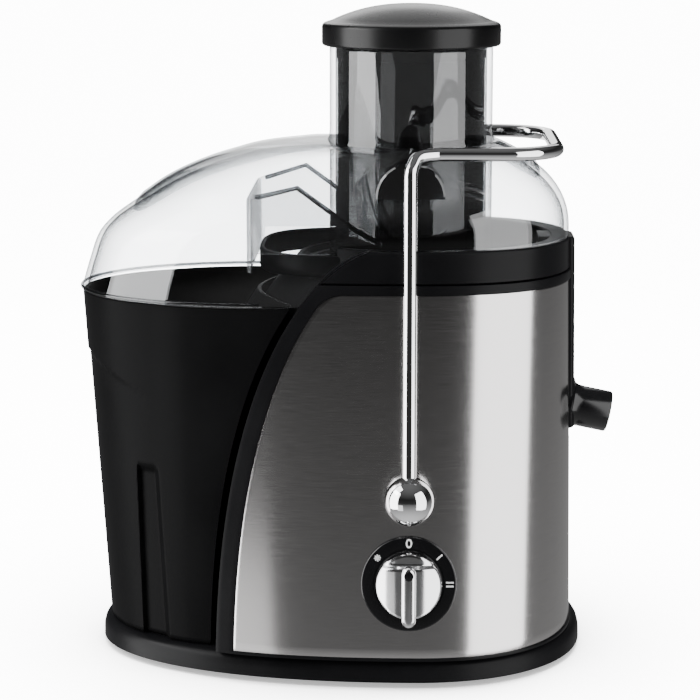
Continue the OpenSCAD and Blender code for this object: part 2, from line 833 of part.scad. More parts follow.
module armature_windings() placed() color("#a5562a") {
    for (k = [0 : core_slots - 1])
        rotate(360 / core_slots * k)
            translate([core_d / 2 - slot_reach + 0.1, 0.1 - slot_w / 2, core_low - 1])
                cube([slot_reach - 1.4, slot_w - 0.2, core_h + 2]);
    ring(core_d - 3, 20, 4, core_low + core_h + 0.1);
    ring(core_d - 3, 20, 3, core_low - 3.1);
}

commutator_d = 18;
bar_gap = 0.6;
module commutator() placed() color("#b8703a") difference() {
    ring(commutator_d, shaft_d, 8, core_low - 12.5);
    for (k = [0 : core_slots - 1])
        rotate(360 / core_slots * k) translate([commutator_d / 2 - 1, -bar_gap / 2, core_low - 13])
            cube([3, bar_gap, 10]);
}

fan_low = 22.5;
fan_d = 72;
fan_hub_d = 16;
fan_hub_h = 8;
fan_blades = 11;
blade = [21.8, 1.4, 6.1];
module cooling_fan() placed() color("#2c2d2f") {
    ring(fan_hub_d, shaft_d, fan_hub_h, fan_low);
    ring(fan_d, fan_hub_d - 0.1, 1.6, fan_low + 6.4);
    for (k = [0 : fan_blades - 1])
        rotate(360 * k / fan_blades) translate([14, -blade[1] / 2, fan_low + 0.4]) cube(blade);
}

coil_x = 32;
coil_w = 13;
coil_l = 48;
module stator_core() placed() color("#8a857c") difference() {
    translate([0, 0, core_low]) linear_extrude(core_h) offset(r = 10) square(stator_d - 20, center = true);
    translate([0, 0, core_low - 1]) cylinder(d = core_d + 1.2, h = core_h + 2);
    for (side = [-1, 1])
        translate([side * coil_x, 0, core_low - 1]) linear_extrude(core_h + 2)
            square([coil_w, coil_l], center = true);
}

module field_windings() placed() color("#b2602e") for (side = [-1, 1])
    translate([side * coil_x, 0, core_low - 4]) linear_extrude(core_h + 8)
        offset(r = 3) square([coil_w - 6.4, coil_l - 6.4], center = true);

// Die-cast bridge that holds a bearing and spans the stator from front to rear.
bridge_reach = 39;
bridge_w = 18;
bridge_t = 4;
arm_w = 10;
module bracket(z, above) {
    top = z + bearing_h + 1.5;
    difference() {
        union() {
            translate([0, 0, z]) cylinder(d = bearing_d + 8, h = bearing_h + 1.5);
            translate([-bridge_w / 2, -bridge_reach, above ? top - bridge_t : z])
                cube([bridge_w, 2 * bridge_reach, bridge_t]);
            for (side = [-1, 1])
                translate([-bridge_w / 2, side * bridge_reach - 4, above ? core_low + core_h : z])
                    cube([bridge_w, 8, above ? top - core_low - core_h : core_low - z]);
        }
        translate([0, 0, z - 1]) cylinder(d = bearing_d, h = bearing_h + 4);
    }
}

module upper_bracket() placed() color("#a7a9aa") difference() {
    union() {
        bracket(upper_z, true);
        for (a = [45, 135])
            rotate(a) translate([-motor_screw_r - arm_w / 2, -arm_w / 2, upper_z + 1])
                cube([2 * motor_screw_r + arm_w, arm_w, 2.6]);
    }
    translate([0, 0, upper_z - 1]) cylinder(d = bearing_d, h = bearing_h + 4);
    at_each(motor_screw_spots, upper_z - 1) cylinder(d = grommet_d, h = 8, $fn = 32);
}

module lower_bracket() placed() color("#a7a9aa") {
    bracket(lower_z, false);
    for (side = [-1, 1]) {
        translate([side * 24 - 12, -arm_w / 2, lower_z]) cube([24, arm_w, bridge_t]);
        translate([side * 27 - 5, -4, lower_z + 4 - eps]) cube([10, 8, brush_z - 3.6 - lower_z - 4 + eps]);
    }
}

module bearing(z) {
    ring(bearing_d, 17.5, bearing_h, z);
    ring(12.5, shaft_d + 0.1, bearing_h, z);
    ring(17.5, 12.5, bearing_h - 2, z + 1);
}
module upper_bearing() placed() color("#b9babc") bearing(upper_z);
module lower_bearing() placed() color("#b9babc") bearing(lower_z);

brush_z = core_low - 8.5;
module on_brush_axis(side, from) {
    translate([side * from, 0, brush_z]) rotate([0, side * 90, 0]) children();
}

module brush_holders() placed() color("#b89a4a") for (side = [-1, 1]) on_brush_axis(side, 13) difference() {
    translate([-3.6, -4.5, 0]) cube([7.2, 9, 22]);
    translate([-2.6, -3.1, -1]) cube([5.2, 6.2, 22]);
}

module carbon_brushes() placed() color("#2b2b2d") for (side = [-1, 1]) on_brush_axis(side, 9.1)
    translate([-2.5, -3, 0]) cube([5, 6, 14]);

spring_turns = 6;
spring_pitch = 1.55;
module brush_springs() placed() color("#c0c0be") for (side = [-1, 1]) on_brush_axis(side, 23.5)
    for (k = [0 : spring_turns]) translate([0, 0, spring_pitch * k])
        rotate_extrude($fn = 24) translate([1.7, 0.4]) circle(d = 0.7, $fn = 8);

grommet_d = 7;
grommet_flange = 10;
motor_screw_head = 8;
module motor_grommets() placed() color("#1f1f20") at_each(motor_screw_spots, upper_z - 1.2) difference() {
    union() {
        cylinder(d = grommet_d, h = 5.98, $fn = 32);
        cylinder(d = grommet_flange, h = 2.1, $fn = 32);
        translate([0, 0, 4.88]) cylinder(d = grommet_flange, h = 1.1, $fn = 32);
    }
    translate([0, 0, -1]) cylinder(d = motor_thread_d, h = 10, $fn = 24);
}

module motor_screws() placed() color("#9c9c9a") at_each(motor_screw_spots, upper_z - 3.8) {
    cylinder(d = motor_screw_head, h = 2.5, $fn = 32);
    cylinder(d = motor_thread_d - 0.02, h = 15, $fn = 24);
}

module shaft_seal() placed() color("#141414") ring(seal_d, shaft_d + 0.1, 6, deck_z + 5);

capacitor = [18, 9, 14];
module suppression_capacitor() placed() color("#c7b23a") translate([-60, 30, tray_top]) cube(capacitor);

// ---------------------------------------------------------------- assembly

base_tray();
base_cover();
rubber_feet();
base_screws();
cord_grommet();
motor_housing();
steel_wrap();
dial_plate();
speed_knob();
rotary_switch();
switch_spindle();
switch_nut();
bail();
pivot_balls();
pivot_pins();
pivot_bushes();
pivot_clips();
safety_cam();
safety_switch();
juice_collector();
collector_bowl();
collector_floor();
juice_spout();
lid();
feed_tube();
pusher();
pusher_cap();
pulp_container();
basket_rim();
filter_mesh();
grater_disc();
basket_hub();
drive_coupling();
motor_shaft();
armature_core();
armature_windings();
commutator();
cooling_fan();
stator_core();
field_windings();
upper_bracket();
lower_bracket();
upper_bearing();
lower_bearing();
brush_holders();
carbon_brushes();
brush_springs();
motor_grommets();
motor_screws();
shaft_seal();
suppression_capacitor();
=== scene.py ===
"""Looks of the centrifugal juicer: smooth shells, clear lid, chrome bail and studio setting."""

import math

import bmesh
import bpy
from mathutils import Matrix, Vector


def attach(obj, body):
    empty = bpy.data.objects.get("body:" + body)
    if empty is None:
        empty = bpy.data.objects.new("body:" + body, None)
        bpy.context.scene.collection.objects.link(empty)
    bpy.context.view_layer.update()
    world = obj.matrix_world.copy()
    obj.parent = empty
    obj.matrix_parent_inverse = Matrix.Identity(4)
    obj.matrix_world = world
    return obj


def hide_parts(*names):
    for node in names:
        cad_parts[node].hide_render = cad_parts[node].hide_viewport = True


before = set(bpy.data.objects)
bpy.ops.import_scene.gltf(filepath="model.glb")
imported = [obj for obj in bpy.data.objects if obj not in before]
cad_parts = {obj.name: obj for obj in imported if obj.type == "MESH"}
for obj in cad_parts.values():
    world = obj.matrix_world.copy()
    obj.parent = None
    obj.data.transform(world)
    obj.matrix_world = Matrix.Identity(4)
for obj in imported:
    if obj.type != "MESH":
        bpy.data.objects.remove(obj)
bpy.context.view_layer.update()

# ------------------ driving dimensions (metres)

MM = 0.001
AXIS_X = 0.0322  # drive axis, which everything is measured from

FOOT_Z = 15 * MM
RIM_Z = 201 * MM
BAND_TOP = 217.6 * MM
BODY_RIGHT = 85.3 * MM
BODY_LEFT = 158 * MM
BODY_DEPTH_LOW = 93 * MM
BODY_DEPTH_TOP = 72 * MM
BODY_POWER_R = 2.35
BODY_POWER_L = 2.4
SIDE_DRAFT = 2.5 * MM
FRAME_W = 8.4 * MM  # black frame left around the steel
STEEL_TOP = 196.5 * MM
LEAN = math.atan((BODY_DEPTH_LOW - BODY_DEPTH_TOP) / (RIM_Z - FOOT_Z))

# Reach to the right, reach to the left and half depth of the well and of the bowl that hangs in it.
WELL = (76 * MM, 59.8 * MM, 66.5 * MM)
BOWL = (74.4 * MM, 59.1 * MM, 64.9 * MM)
BOWL_POWER = 2.2

SPLIT_REACH = 97 * MM
SPLIT_TOP = 221 * MM
SPLIT_POWER = 2.2

BIN_FOOT = 14.3 * MM
BIN_TOP = 189 * MM
BIN_DEPTH = 70 * MM
BIN_CENTRE = -75 * MM
BIN_GAP = 4 * MM
BIN_WALL = 2.4 * MM
FLUTE_TOP = 106 * MM  # the wall is thicker under it, behind the grip flutes
BULGE = 18 * MM
BULGE_HALF = 56 * MM

LID_FOOT = 189.8 * MM
LID_EDGE = 218 * MM
LID_TOP = 265 * MM
LID_WALL = 2.4 * MM
TUBE_R = 42 * MM
TUBE_TOP = 314 * MM
TUBE_FOOT = 152 * MM
TUBE_WALL = 3 * MM
PUSHER_R = 37.8 * MM

PIVOT_Z = 98 * MM
BALL_R = 12.25 * MM
WIRE_R = 3.5 * MM
LOOP_Z = 265 * MM
LOOP_Y = 60 * MM
LOOP_REACH = 73.5 * MM

KNOB_Z = 54 * MM
KNOB_R = 16.5 * MM
DIAL_R = 23.75 * MM

SPOUT_ROOT = 60 * MM
SPOUT_TIP = 107 * MM
SPOUT_Z = 132 * MM
SPOUT_R = 10.75 * MM
SPOUT_BORE_R = 8.6 * MM
SPOUT_SLOPE = math.radians(11.6)
SLOT_X = 60 * MM
SLOT_HALF = 13 * MM
DECK_Z = 112 * MM
CUT_TOP = 230 * MM  # a height over the top of every shell that is cut open

# ------------------ outlines


def body_half_depth(z):
    """Half depth of the housing at a height: its front and rear lean in."""
    return BODY_DEPTH_LOW + (BODY_DEPTH_TOP - BODY_DEPTH_LOW) * (z - FOOT_Z) / (RIM_Z - FOOT_Z)


def body_half_width(z):
    """Reach of the housing to the right at a height."""
    return BODY_RIGHT - SIDE_DRAFT * (z - FOOT_Z) / (RIM_Z - FOOT_Z)


def egg_point(angle, right, left, depth, power_r, power_l):
    """A point of a closed outline made of two superellipse halves."""
    c, s = math.cos(angle), math.sin(angle)
    power, reach = (power_r, right) if c >= 0 else (power_l, left)
    x = math.copysign(reach * abs(c) ** (2 / power), c)
    y = math.copysign(depth * abs(s) ** (2 / power), s)
    return x, y


def egg_loop(z, right, left, depth, power_r, power_l, count=160):
    """A level, closed outline of two superellipse halves about the drive axis."""
    loop = []
    for k in range(count):
        x, y = egg_point(2 * math.pi * k / count, right, left, depth, power_r, power_l)
        loop.append(Vector((AXIS_X + x, y, z)))
    return loop


def split_x(z):
    """Where, seen from the front, the housing and collector meet the container."""
    u = min(z, SPLIT_TOP - 1e-5) / SPLIT_TOP
    return -SPLIT_REACH * (1 - u**SPLIT_POWER) ** (1 / SPLIT_POWER)


def bulge_at(y):
    """How far the housing swells to the left in the middle of its depth."""
    return BULGE * math.cos(math.pi / 2 * y / BULGE_HALF) if abs(y) < BULGE_HALF else 0.0


# ------------------ mesh helpers


def new_object(name, verts, faces, smooth=True):
    """A mesh object from points and faces, with its normals turned outwards."""
    mesh = bpy.data.meshes.new(name)
    mesh.from_pydata([tuple(v) for v in verts], [], faces)
    bm = bmesh.new()
    bm.from_mesh(mesh)
    bmesh.ops.remove_doubles(bm, verts=bm.verts, dist=1e-6)
    bmesh.ops.recalc_face_normals(bm, faces=bm.faces)
    bm.to_mesh(mesh)
    bm.free()
    obj = bpy.data.objects.new(name, mesh)
    bpy.context.collection.objects.link(obj)
    if smooth:
        mesh.shade_smooth()
    return obj


def grid(rows, closed=False, wrap=False):
    """Points and faces of a grid given as rows of equal length."""
    n = len(rows[0])
    verts = [p for row in rows for p in row]
    faces = []
    for k in range(len(rows) if wrap else len(rows) - 1):
        low, high = k * n, (k + 1) % len(rows) * n
        for i in range(n if closed else n - 1):
            j = (i + 1) % n
            faces.append((low + i, low + j, high + j, high + i))
    return verts, faces


def lofted(name, loops, ends="capped"):
    """A body skinned over closed loops of equal length: capped, or joined end to end."""
    verts, faces = grid(loops, closed=True, wrap=ends == "joined")
    n = len(loops[0])
    if ends == "capped":
        faces.append(tuple(range(n - 1, -1, -1)))
        faces.append(tuple(range((len(loops) - 1) * n, len(loops) * n)))
    return new_object(name, verts, faces)


def apply_modifiers(obj):
    """Bakes an object's modifiers into its mesh."""
    graph = bpy.context.evaluated_depsgraph_get()
    graph.update()
    mesh = bpy.data.meshes.new_from_object(obj.evaluated_get(graph))
    old = obj.data
    obj.modifiers.clear()
    obj.data = mesh
    bpy.data.meshes.remove(old)
    return obj


def bevel(obj, width, segments, angle):
    """Rounds the edges that are sharper than an angle."""
    mod = obj.modifiers.new("bevel", "BEVEL")
    mod.width = width
    mod.segments = segments
    mod.limit_method = "ANGLE"
    mod.angle_limit = math.radians(angle)
    return apply_modifiers(obj)


def sharpen(obj, angle):
    """Smooth shading that keeps edges sharper than an angle."""
    obj.data.shade_smooth()
    obj.data.set_sharp_from_angle(angle=math.radians(angle))
    return obj


def cut(obj, cutter):
    """Cuts an object with another, which is then removed."""
    mod = obj.modifiers.new("cut", "BOOLEAN")
    mod.operation = "DIFFERENCE"
    mod.object = cutter
    mod.solver = "EXACT"
    apply_modifiers(obj)
    bpy.data.objects.remove(cutter)
    return obj


def solidify(obj, thickness, offset=-1.0):
    """Gives a sheet its thickness: inwards, or to both sides at offset 0."""
    mod = obj.modifiers.new("wall", "SOLIDIFY")
    mod.thickness = thickness
    mod.offset = offset
    mod.use_even_offset = True
    return apply_modifiers(obj)


def box_cutter(low, high):
    """A plain box between two corners, used only to cut others."""
    (x0, y0, z0), (x1, y1, z1) = low, high
    verts = [(x, y, z) for z in (z0, z1) for y in (y0, y1) for x in (x0, x1)]
    faces = [(0, 2, 3, 1), (4, 5, 7, 6), (0, 1, 5, 4), (2, 6, 7, 3), (0, 4, 6, 2), (1, 3, 7, 5)]
    return new_object("cutter", verts, faces, smooth=False)


def turned(name, profile, centre=(0, 0, 0), count=96, turn=Matrix()):
    """A body of revolution about +Z from (radius, height) pairs; ends on the axis close it."""
    verts, faces, rings = [], [], []
    for r, h in profile:
        if r < 1e-7:
            rings.append([len(verts)])
            verts.append(Vector((0, 0, h)))
            continue
        start = len(verts)
        for i in range(count):
            a = 2 * math.pi * i / count
            verts.append(Vector((r * math.cos(a), r * math.sin(a), h)))
        rings.append(list(range(start, start + count)))
    for low, high in zip(rings, rings[1:]):
        if len(low) == 1 and len(high) == 1:
            continue
        for i in range(count):
            j = (i + 1) % count
            if len(low) == 1:
                faces.append((low[0], high[j], high[i]))
            elif len(high) == 1:
                faces.append((low[i], low[j], high[0]))
            else:
                faces.append((low[i], low[j], high[j], high[i]))
    place = Matrix.Translation(centre) @ turn
    return new_object(name, [place @ v for v in verts], faces)


def arc_points(cx, cz, r, start, end, steps=6):
    """Points of an arc in a profile, angles in degrees."""
    angles = [math.radians(start + (end - start) * k / steps) for k in range(steps + 1)]
    return [(cx + r * math.cos(a), cz + r * math.sin(a)) for a in angles]


def tube_along(name, points, radius, sides=32):
    """A round wire through points, with rotation-minimising rings and closed ends."""
    pts = [Vector(p) for p in points]
    tangents = []
    for i in range(len(pts)):
        a = pts[max(0, i - 1)]
        b = pts[min(len(pts) - 1, i + 1)]
        tangents.append((b - a).normalized())
    ref = Vector((0, 0, 1))
    if abs(tangents[0].dot(ref)) > 0.9:
        ref = Vector((1, 0, 0))
    normal = (ref - tangents[0] * ref.dot(tangents[0])).normalized()
    loops = []
    angles = [2 * math.pi * k / sides for k in range(sides)]
    for p, t in zip(pts, tangents):
        normal = (normal - t * normal.dot(t)).normalized()
        side = t.cross(normal)
        loops.append([p + (normal * math.cos(a) + side * math.sin(a)) * radius for a in angles])
    return lofted(name, loops)


def angle_to(z, edge_x):
    """The outline angle at which the body's skin reaches edge_x, on the rear side."""
    if edge_x < 0:
        u = min(0.999, -edge_x / BODY_LEFT)
        return math.pi / 2 + math.asin(u ** (BODY_POWER_L / 2))
    return math.acos(min(1.0, (edge_x / body_half_width(z)) ** (BODY_POWER_R / 2)))


def skin_at(z, angle, wall=0.0):
    """A point of the body's skin at an outline angle, 0 to the right and negative to the front."""
    right, left = body_half_width(z) - wall, BODY_LEFT - wall
    x, y = egg_point(angle, right, left, body_half_depth(z) - wall, BODY_POWER_R, BODY_POWER_L)
    return Vector((AXIS_X + x, y, z))


def spread(a, b, count):
    """Evenly spaced values, both ends included."""
    return [a + (b - a) * k / (count - 1) for k in range(count)]


def eased(a, b, count):
    """Values that crowd towards both ends."""
    return [a + (b - a) * (1 - math.cos(math.pi * k / (count - 1))) / 2 for k in range(count)]


# ------------------ body


def steel_edge_x(z, margin=0.0):
    """Left edge of the steel at a height, rounded into its top edge."""
    x = split_x(z) + FRAME_W + margin
    radius = 7 * MM
    over = z - (STEEL_TOP - margin - radius)
    if over > 0:
        x += radius - math.sqrt(max(0.0, radius**2 - over**2))
    return x


def housing_loop(z, on_steel_rows):
    """One level of the housing: frame strip, bed of the steel, frame strip, left wall."""
    end, bed = angle_to(z, split_x(z)), angle_to(z, steel_edge_x(min(z, STEEL_TOP)))
    proud, sunk = -0.6 * MM, 0.9 * MM
    wall = sunk if on_steel_rows else proud
    loop = [skin_at(z, a, proud) for a in spread(-end, -bed, 5)]
    loop += [skin_at(z, a, wall) for a in eased(-bed, bed, 151)]
    loop += [skin_at(z, a, proud) for a in spread(bed, end, 5)]
    rear_y = loop[-1].y
    for k in range(1, 40):
        y = rear_y * (1 - 2 * k / 40)
        loop.append(Vector((AXIS_X + split_x(z) - bulge_at(y), y, z)))
    return loop


def slot_cutter(half, low):
    """Space of the slot on the right, down which the collector's apron reaches."""
    x = AXIS_X + SLOT_X
    return box_cutter((x, -half, low), (x + 80 * MM, half, RIM_Z + 20 * MM))


def build_housing():
    """Black housing with a proud frame round the bed of the steel wrap."""
    levels = [(FOOT_Z, False), (FOOT_Z + 1.2 * MM, False), (FOOT_Z + 1.25 * MM, True)]
    levels += [(z, True) for z in spread(FOOT_Z + 6 * MM, STEEL_TOP - 8 * MM, 26)]
    levels += [(z, True) for z in spread(STEEL_TOP - 7 * MM, STEEL_TOP, 9)]
    levels += [(STEEL_TOP + 0.05 * MM, False), (STEEL_TOP + 2 * MM, False), (RIM_Z, False)]
    housing = lofted("housing_shell", [housing_loop(z, steel) for z, steel in levels])
    deck = DECK_Z + 3 * MM
    cut(housing, slot_cutter(SLOT_HALF, deck))
    well = [egg_loop(z, *WELL, BOWL_POWER, BOWL_POWER) for z in (deck, CUT_TOP)]
    cut(housing, lofted("cutter", well))
    return sharpen(bevel(housing, 0.9 * MM, 3, 40), 50)


def build_steel():
    """Thin brushed stainless wrap let into the frame."""
    rows = []
    margin = 0.25 * MM
    heights = [FOOT_Z + 1.4 * MM] + spread(FOOT_Z + 6 * MM, STEEL_TOP - 8 * MM, 40)
    heights += spread(STEEL_TOP - 7.2 * MM, STEEL_TOP - margin, 12)
    for z in heights:
        end = angle_to(z, steel_edge_x(z, margin))
        rows.append([skin_at(z, a, 0.1 * MM) for a in spread(-end, end, 241)])
    steel = new_object("steel_skin", *grid(rows))
    solidify(steel, 0.7 * MM)
    cut(steel, slot_cutter(SLOT_HALF + 2.4 * MM, DECK_Z - 0.5 * MM))
    return sharpen(bevel(steel, 0.25 * MM, 2, 40), 40)


def build_tray():
    """Base tray: a flared black ring under the housing and container."""
    right, left, depth = 90.5, 163, 91.5
    levels = [(3.0, 0.6), (3.2, 0.0), (8.5, 0.1), (11.0, 0.7), (12.6, 1.7), (13.6, 3.2), (14.0, 5.4)]
    loops = []
    for z, inset in levels:
        sizes = [(size - inset) * MM for size in (right, left, depth)]
        loops.append(egg_loop(z * MM, *sizes, 2.15, 2.2, 220))
    return sharpen(lofted("tray_ring", loops), 45)


# ------------------ pulp container


def smooth_step(t):
    t = max(0.0, min(1.0, t))
    return t * t * (3 - 2 * t)


def flute_depth(x, z):
    """Depth of the shallow grip flute in the front and rear of the container, open at its foot."""
    left = -139.5 * MM + (105 * MM - z) * 0.022
    right = -127 * MM + (105 * MM - z) * 0.055
    across = smooth_step((x - left) / (1.6 * MM)) * smooth_step((right - x) / (3.2 * MM))
    return 3.4 * MM * across * smooth_step((FLUTE_TOP - z) / (5 * MM))


def lip_rise(x, z):
    """The container's left end is a little fuller above a line that runs down to the front."""
    edge = 157 * MM + (x + 168 * MM) * -0.5
    fade = smooth_step((-128 * MM - x) / (26 * MM))
    return 1.0 * MM * fade * smooth_step((z - edge) / (1.4 * MM))


def bin_loop(z, wall=0.0, shaped=False):
    """One level of the container: half an ellipse and the wall that follows the housing."""
    reach = 171 * MM + BIN_CENTRE - (BIN_TOP - z) * 11 / 173 - wall
    depth = BIN_DEPTH - wall
    edge = split_x(z) - BIN_GAP - wall
    u = (edge - BIN_CENTRE) / (reach if edge < BIN_CENTRE else 60 * MM)
    power = 2.05 if edge < BIN_CENTRE else 2.1
    u = max(-0.99, min(0.99, u))
    start = math.acos(math.copysign(abs(u) ** (power / 2), u))
    loop = []
    for a in spread(start, 2 * math.pi - start, 361):
        x, y = egg_point(a, 60 * MM, reach, depth, 2.1, 2.05)
        x += BIN_CENTRE
        if shaped:
            out = lip_rise(x, z) - 1.0 * MM
            around = Vector((x - BIN_CENTRE, y)).normalized() * out if x < BIN_CENTRE else Vector((0, 0))
            fade = smooth_step((-112 * MM - x) / (20 * MM))
            x += around.x * fade
            y += around.y * fade
            y -= math.copysign(flute_depth(x, z), y)
        loop.append(Vector((AXIS_X + x, y, z)))
    front_y = loop[-1].y
    for k in range(1, 36):
        y = front_y * (1 - 2 * k / 36)
        loop.append(Vector((AXIS_X + edge - bulge_at(y), y, z)))
    return loop


def build_bin():
    """Pulp container with a thin wall, open at the top, with grip flutes and a fuller lip."""
    low, high = BIN_FOOT, BIN_TOP
    foot = [Vector((p.x, p.y, low)) for p in bin_loop(low + 0.3 * MM, 1.2 * MM, True)]
    outer = [foot] + [bin_loop(z, 0.0, True) for z in spread(low + 1.6 * MM, high - 0.5 * MM, 110)]
    rim = [[Vector((p.x, p.y, high)) for p in bin_loop(high, w * MM, w < 1)] for w in (0.5, 1.9)]
    inner = [bin_loop(z, BIN_WALL) for z in spread(high - 0.5 * MM, FLUTE_TOP + 4 * MM, 8)]
    inner += [bin_loop(z, 5.9 * MM) for z in spread(FLUTE_TOP, low + 2.6 * MM, 10)]
    return sharpen(lofted("pulp_bin", outer + rim + inner), 42)


# ------------------ collector

def build_band():
    """Black band between the housing's rim and the lid, ending on the arc."""
    levels = [(RIM_Z + 0.5 * MM, 0.9)] + [(z, 0.3) for z in spread(RIM_Z + 1.1 * MM, BAND_TOP - 0.8 * MM, 14)]
    levels.append((BAND_TOP, 1.0))
    loops = []
    for z, wall in levels:
        edge = split_x(z) + 0.5 * MM
        end = angle_to(z, edge)
        loop = [skin_at(z, a, wall * MM) for a in spread(-end, end, 161)]
        rear = loop[-1].y
        loop += [Vector((AXIS_X + edge, rear * (1 - 2 * k / 20), z)) for k in range(1, 20)]
        loops.append(loop)
    band = lofted("collector_band", loops)
    hole = [egg_loop(z, 73 * MM, 58 * MM, 63.6 * MM, BOWL_POWER, BOWL_POWER) for z in (190 * MM, CUT_TOP)]
    cut(band, lofted("cutter", hole))
    return sharpen(band, 40)


def build_bowl():
    """Collector bowl in its well, with the mouth that throws pulp to the left."""
    loops = []
    for z, wall in [(118, 0), (216.8, 0), (217.4, 0.6), (217.4, 1.8), (216.8, 2.4), (121, 2.4)]:
        loops.append(egg_loop(z * MM, *[size - wall * MM for size in BOWL], BOWL_POWER, BOWL_POWER))
    bowl = lofted("collector_bowl", loops, ends="joined")
    half, sill = 53.5 * MM, 206 * MM
    cut(bowl, box_cutter((AXIS_X - 90 * MM, -half, sill), (AXIS_X - 20 * MM, half, CUT_TOP)))
    return sharpen(bowl, 40)


def build_mouth():
    """Black hood of the collector that reaches over the container."""
    loops = []
    levels = [(201.7, -1.2), (202.4, -0.4), (203.4, 0.0), (211.6, 0.0), (212.6, -0.3)]
    levels += [(213.0, -1.0), (213.0, -1.6), (212.4, -2.4), (201.7, -2.4)]
    right, left, depth = 20, 78, 56
    for z, grow in levels:
        sizes = [(size + grow) * MM for size in (right, left, depth)]
        loops.append(egg_loop(z * MM, *sizes, BOWL_POWER, 3.2))
    mouth = lofted("collector_mouth", loops, ends="joined")
    x, half = 30 * MM, 80 * MM
    cut(mouth, box_cutter((AXIS_X - x, -half, 190 * MM), (AXIS_X + x, half, CUT_TOP)))
    return sharpen(mouth, 40)


def build_apron():
    """Tongue on the right that carries the spout, down the slot of the housing."""
    levels = [(116 * MM, 1.2 * MM), (117 * MM, 0.3 * MM)]
    levels += [(z, 0.0) for z in spread(118 * MM, 216.5 * MM, 10)]
    levels.append((217.4 * MM, 0.8 * MM))
    loops = []
    for z, inset in levels:
        out = AXIS_X + body_half_width(z) + 2.2 * MM - inset
        side = SLOT_HALF - 0.8 * MM - inset
        plan = [(AXIS_X + 66 * MM, -side), (out - 1.5 * MM, -side), (out, -side + 2 * MM)]
        plan += [(x, -y) for x, y in reversed(plan)]
        loops.append([Vector((x, y, z)) for x, y in plan])
    return sharpen(bevel(lofted("collector_apron", loops), 0.8 * MM, 3, 30), 40)


def build_spout():
    """Juice spout: a sloping tube with a rounded lip and a root fillet."""
    length = (SPOUT_TIP - SPOUT_ROOT) / math.cos(SPOUT_SLOPE) - 2.3 * MM
    r, bore, fillet = SPOUT_R, SPOUT_BORE_R, 24.6 * MM
    profile = [(bore, 0), (r, 0), (r + 3.0 * MM, fillet), (r + 1.0 * MM, fillet + 1.0 * MM)]
    profile += [(r + 0.25 * MM, fillet + 3 * MM), (r, fillet + 6 * MM), (r, length - 1.0 * MM)]
    profile += [(r - 0.3 * MM, length - 0.3 * MM), (r - 1.0 * MM, length), (bore + 0.3 * MM, length)]
    profile += [(bore, length - 0.5 * MM), (bore, 0)]
    turn = Matrix.Rotation(math.pi / 2 + SPOUT_SLOPE, 4, "Y")
    return sharpen(turned("spout_tube", profile, (AXIS_X + SPOUT_ROOT, 0, SPOUT_Z), 72, turn), 40)


# ------------------ lid

# Height, then the reach to the right, to the left and to the front, then how far left the
# rounded left end is centred, all in millimetres.
LID_LEVELS = [
    (189.8, 82, 171.4, 70.5, 75),
    (204, 82, 167.2, 70, 73),
    (218, 82, 162, 69, 68),
    (226, 81.8, 155, 68.3, 62),
    (232, 80.8, 147, 66.8, 55),
    (238, 78.6, 138, 64.2, 47),
    (244, 75, 129.5, 61, 38),
    (250, 69.7, 118.5, 56.8, 28),
    (256, 62, 104, 51.5, 17),
    (260, 55, 91, 47.5, 10),
    (263, 49, 79, 45, 6),
    (265, 44.2, 60, 43.2, 2),
]
LID_POWER_R = 2.3
LID_POWER_L = 2.08


def lid_sizes(z):
    """The lid's four sizes at a height, smoothly between its levels."""
    table = LID_LEVELS
    z = z / MM
    k = max([i for i in range(len(table) - 1) if table[i][0] <= z + 1e-9] or [0])
    a, b = table[k], table[k + 1]
    before, after = table[max(0, k - 1)], table[min(len(table) - 1, k + 2)]
    t = (z - a[0]) / (b[0] - a[0])
    out = []
    for c in (1, 2, 3, 4):
        slope_a = (b[c] - before[c]) / (b[0] - before[0]) * (b[0] - a[0])
        slope_b = (after[c] - a[c]) / (after[0] - a[0]) * (b[0] - a[0])
        value = (2 * t**3 - 3 * t**2 + 1) * a[c] + (t**3 - 2 * t**2 + t) * slope_a
        value += (-2 * t**3 + 3 * t**2) * b[c] + (t**3 - t**2) * slope_b
        out.append(value * MM)
    return out


def lid_ring(sizes, z, wall=0.0, count=220):
    """One closed outline of the lid: round to the right, straight, and round again to the left."""
    right, left, depth, centre = sizes
    loop = []
    for k in range(count):
        a = 2 * math.pi * k / count
        x, y = egg_point(a, right - wall, left - centre - wall, depth - wall, LID_POWER_R, LID_POWER_L)
        loop.append(Vector((AXIS_X + x - (centre if x < -1e-6 else 0.0), y, z)))
    return loop


def arc_cutter():
    """Everything under the arched lower edge of the lid."""
    low, right, half = 185 * MM, 200 * MM, 120 * MM
    curve = [(split_x(z) - 0.3 * MM, z) for z in eased(low, LID_EDGE, 40)]
    curve += [(right, LID_EDGE), (right, low)]
    return lofted("cutter", [[Vector((AXIS_X + x, y, z)) for x, z in curve] for y in (-half, half)])


def build_lid():
    """Clear lid: skirt over the container, arched edge over the collector, and dome."""
    heights = spread(LID_FOOT, LID_TOP, 48)
    hole = TUBE_R + 0.05 * MM
    top_ring = (hole, hole, hole, 0.0)
    outer = [lid_ring(lid_sizes(z), z) for z in heights]
    outer.append(lid_ring((42.6 * MM, 47 * MM, 42.5 * MM, 0.0), 265.7 * MM))
    outer.append(lid_ring(top_ring, 265.9 * MM))
    inner = [lid_ring(top_ring, 263.4 * MM)]
    for z in reversed(heights):
        drop = LID_WALL * smooth_step((z - 222 * MM) / (30 * MM))
        inner.append(lid_ring(lid_sizes(z), z - drop, LID_WALL))
    inner[-1] = lid_ring(lid_sizes(heights[0]), heights[0] + 0.02 * MM, LID_WALL)
    lid = lofted("lid_dome", outer + inner, ends="joined")
    cut(lid, arc_cutter())
    return sharpen(lid, 38)


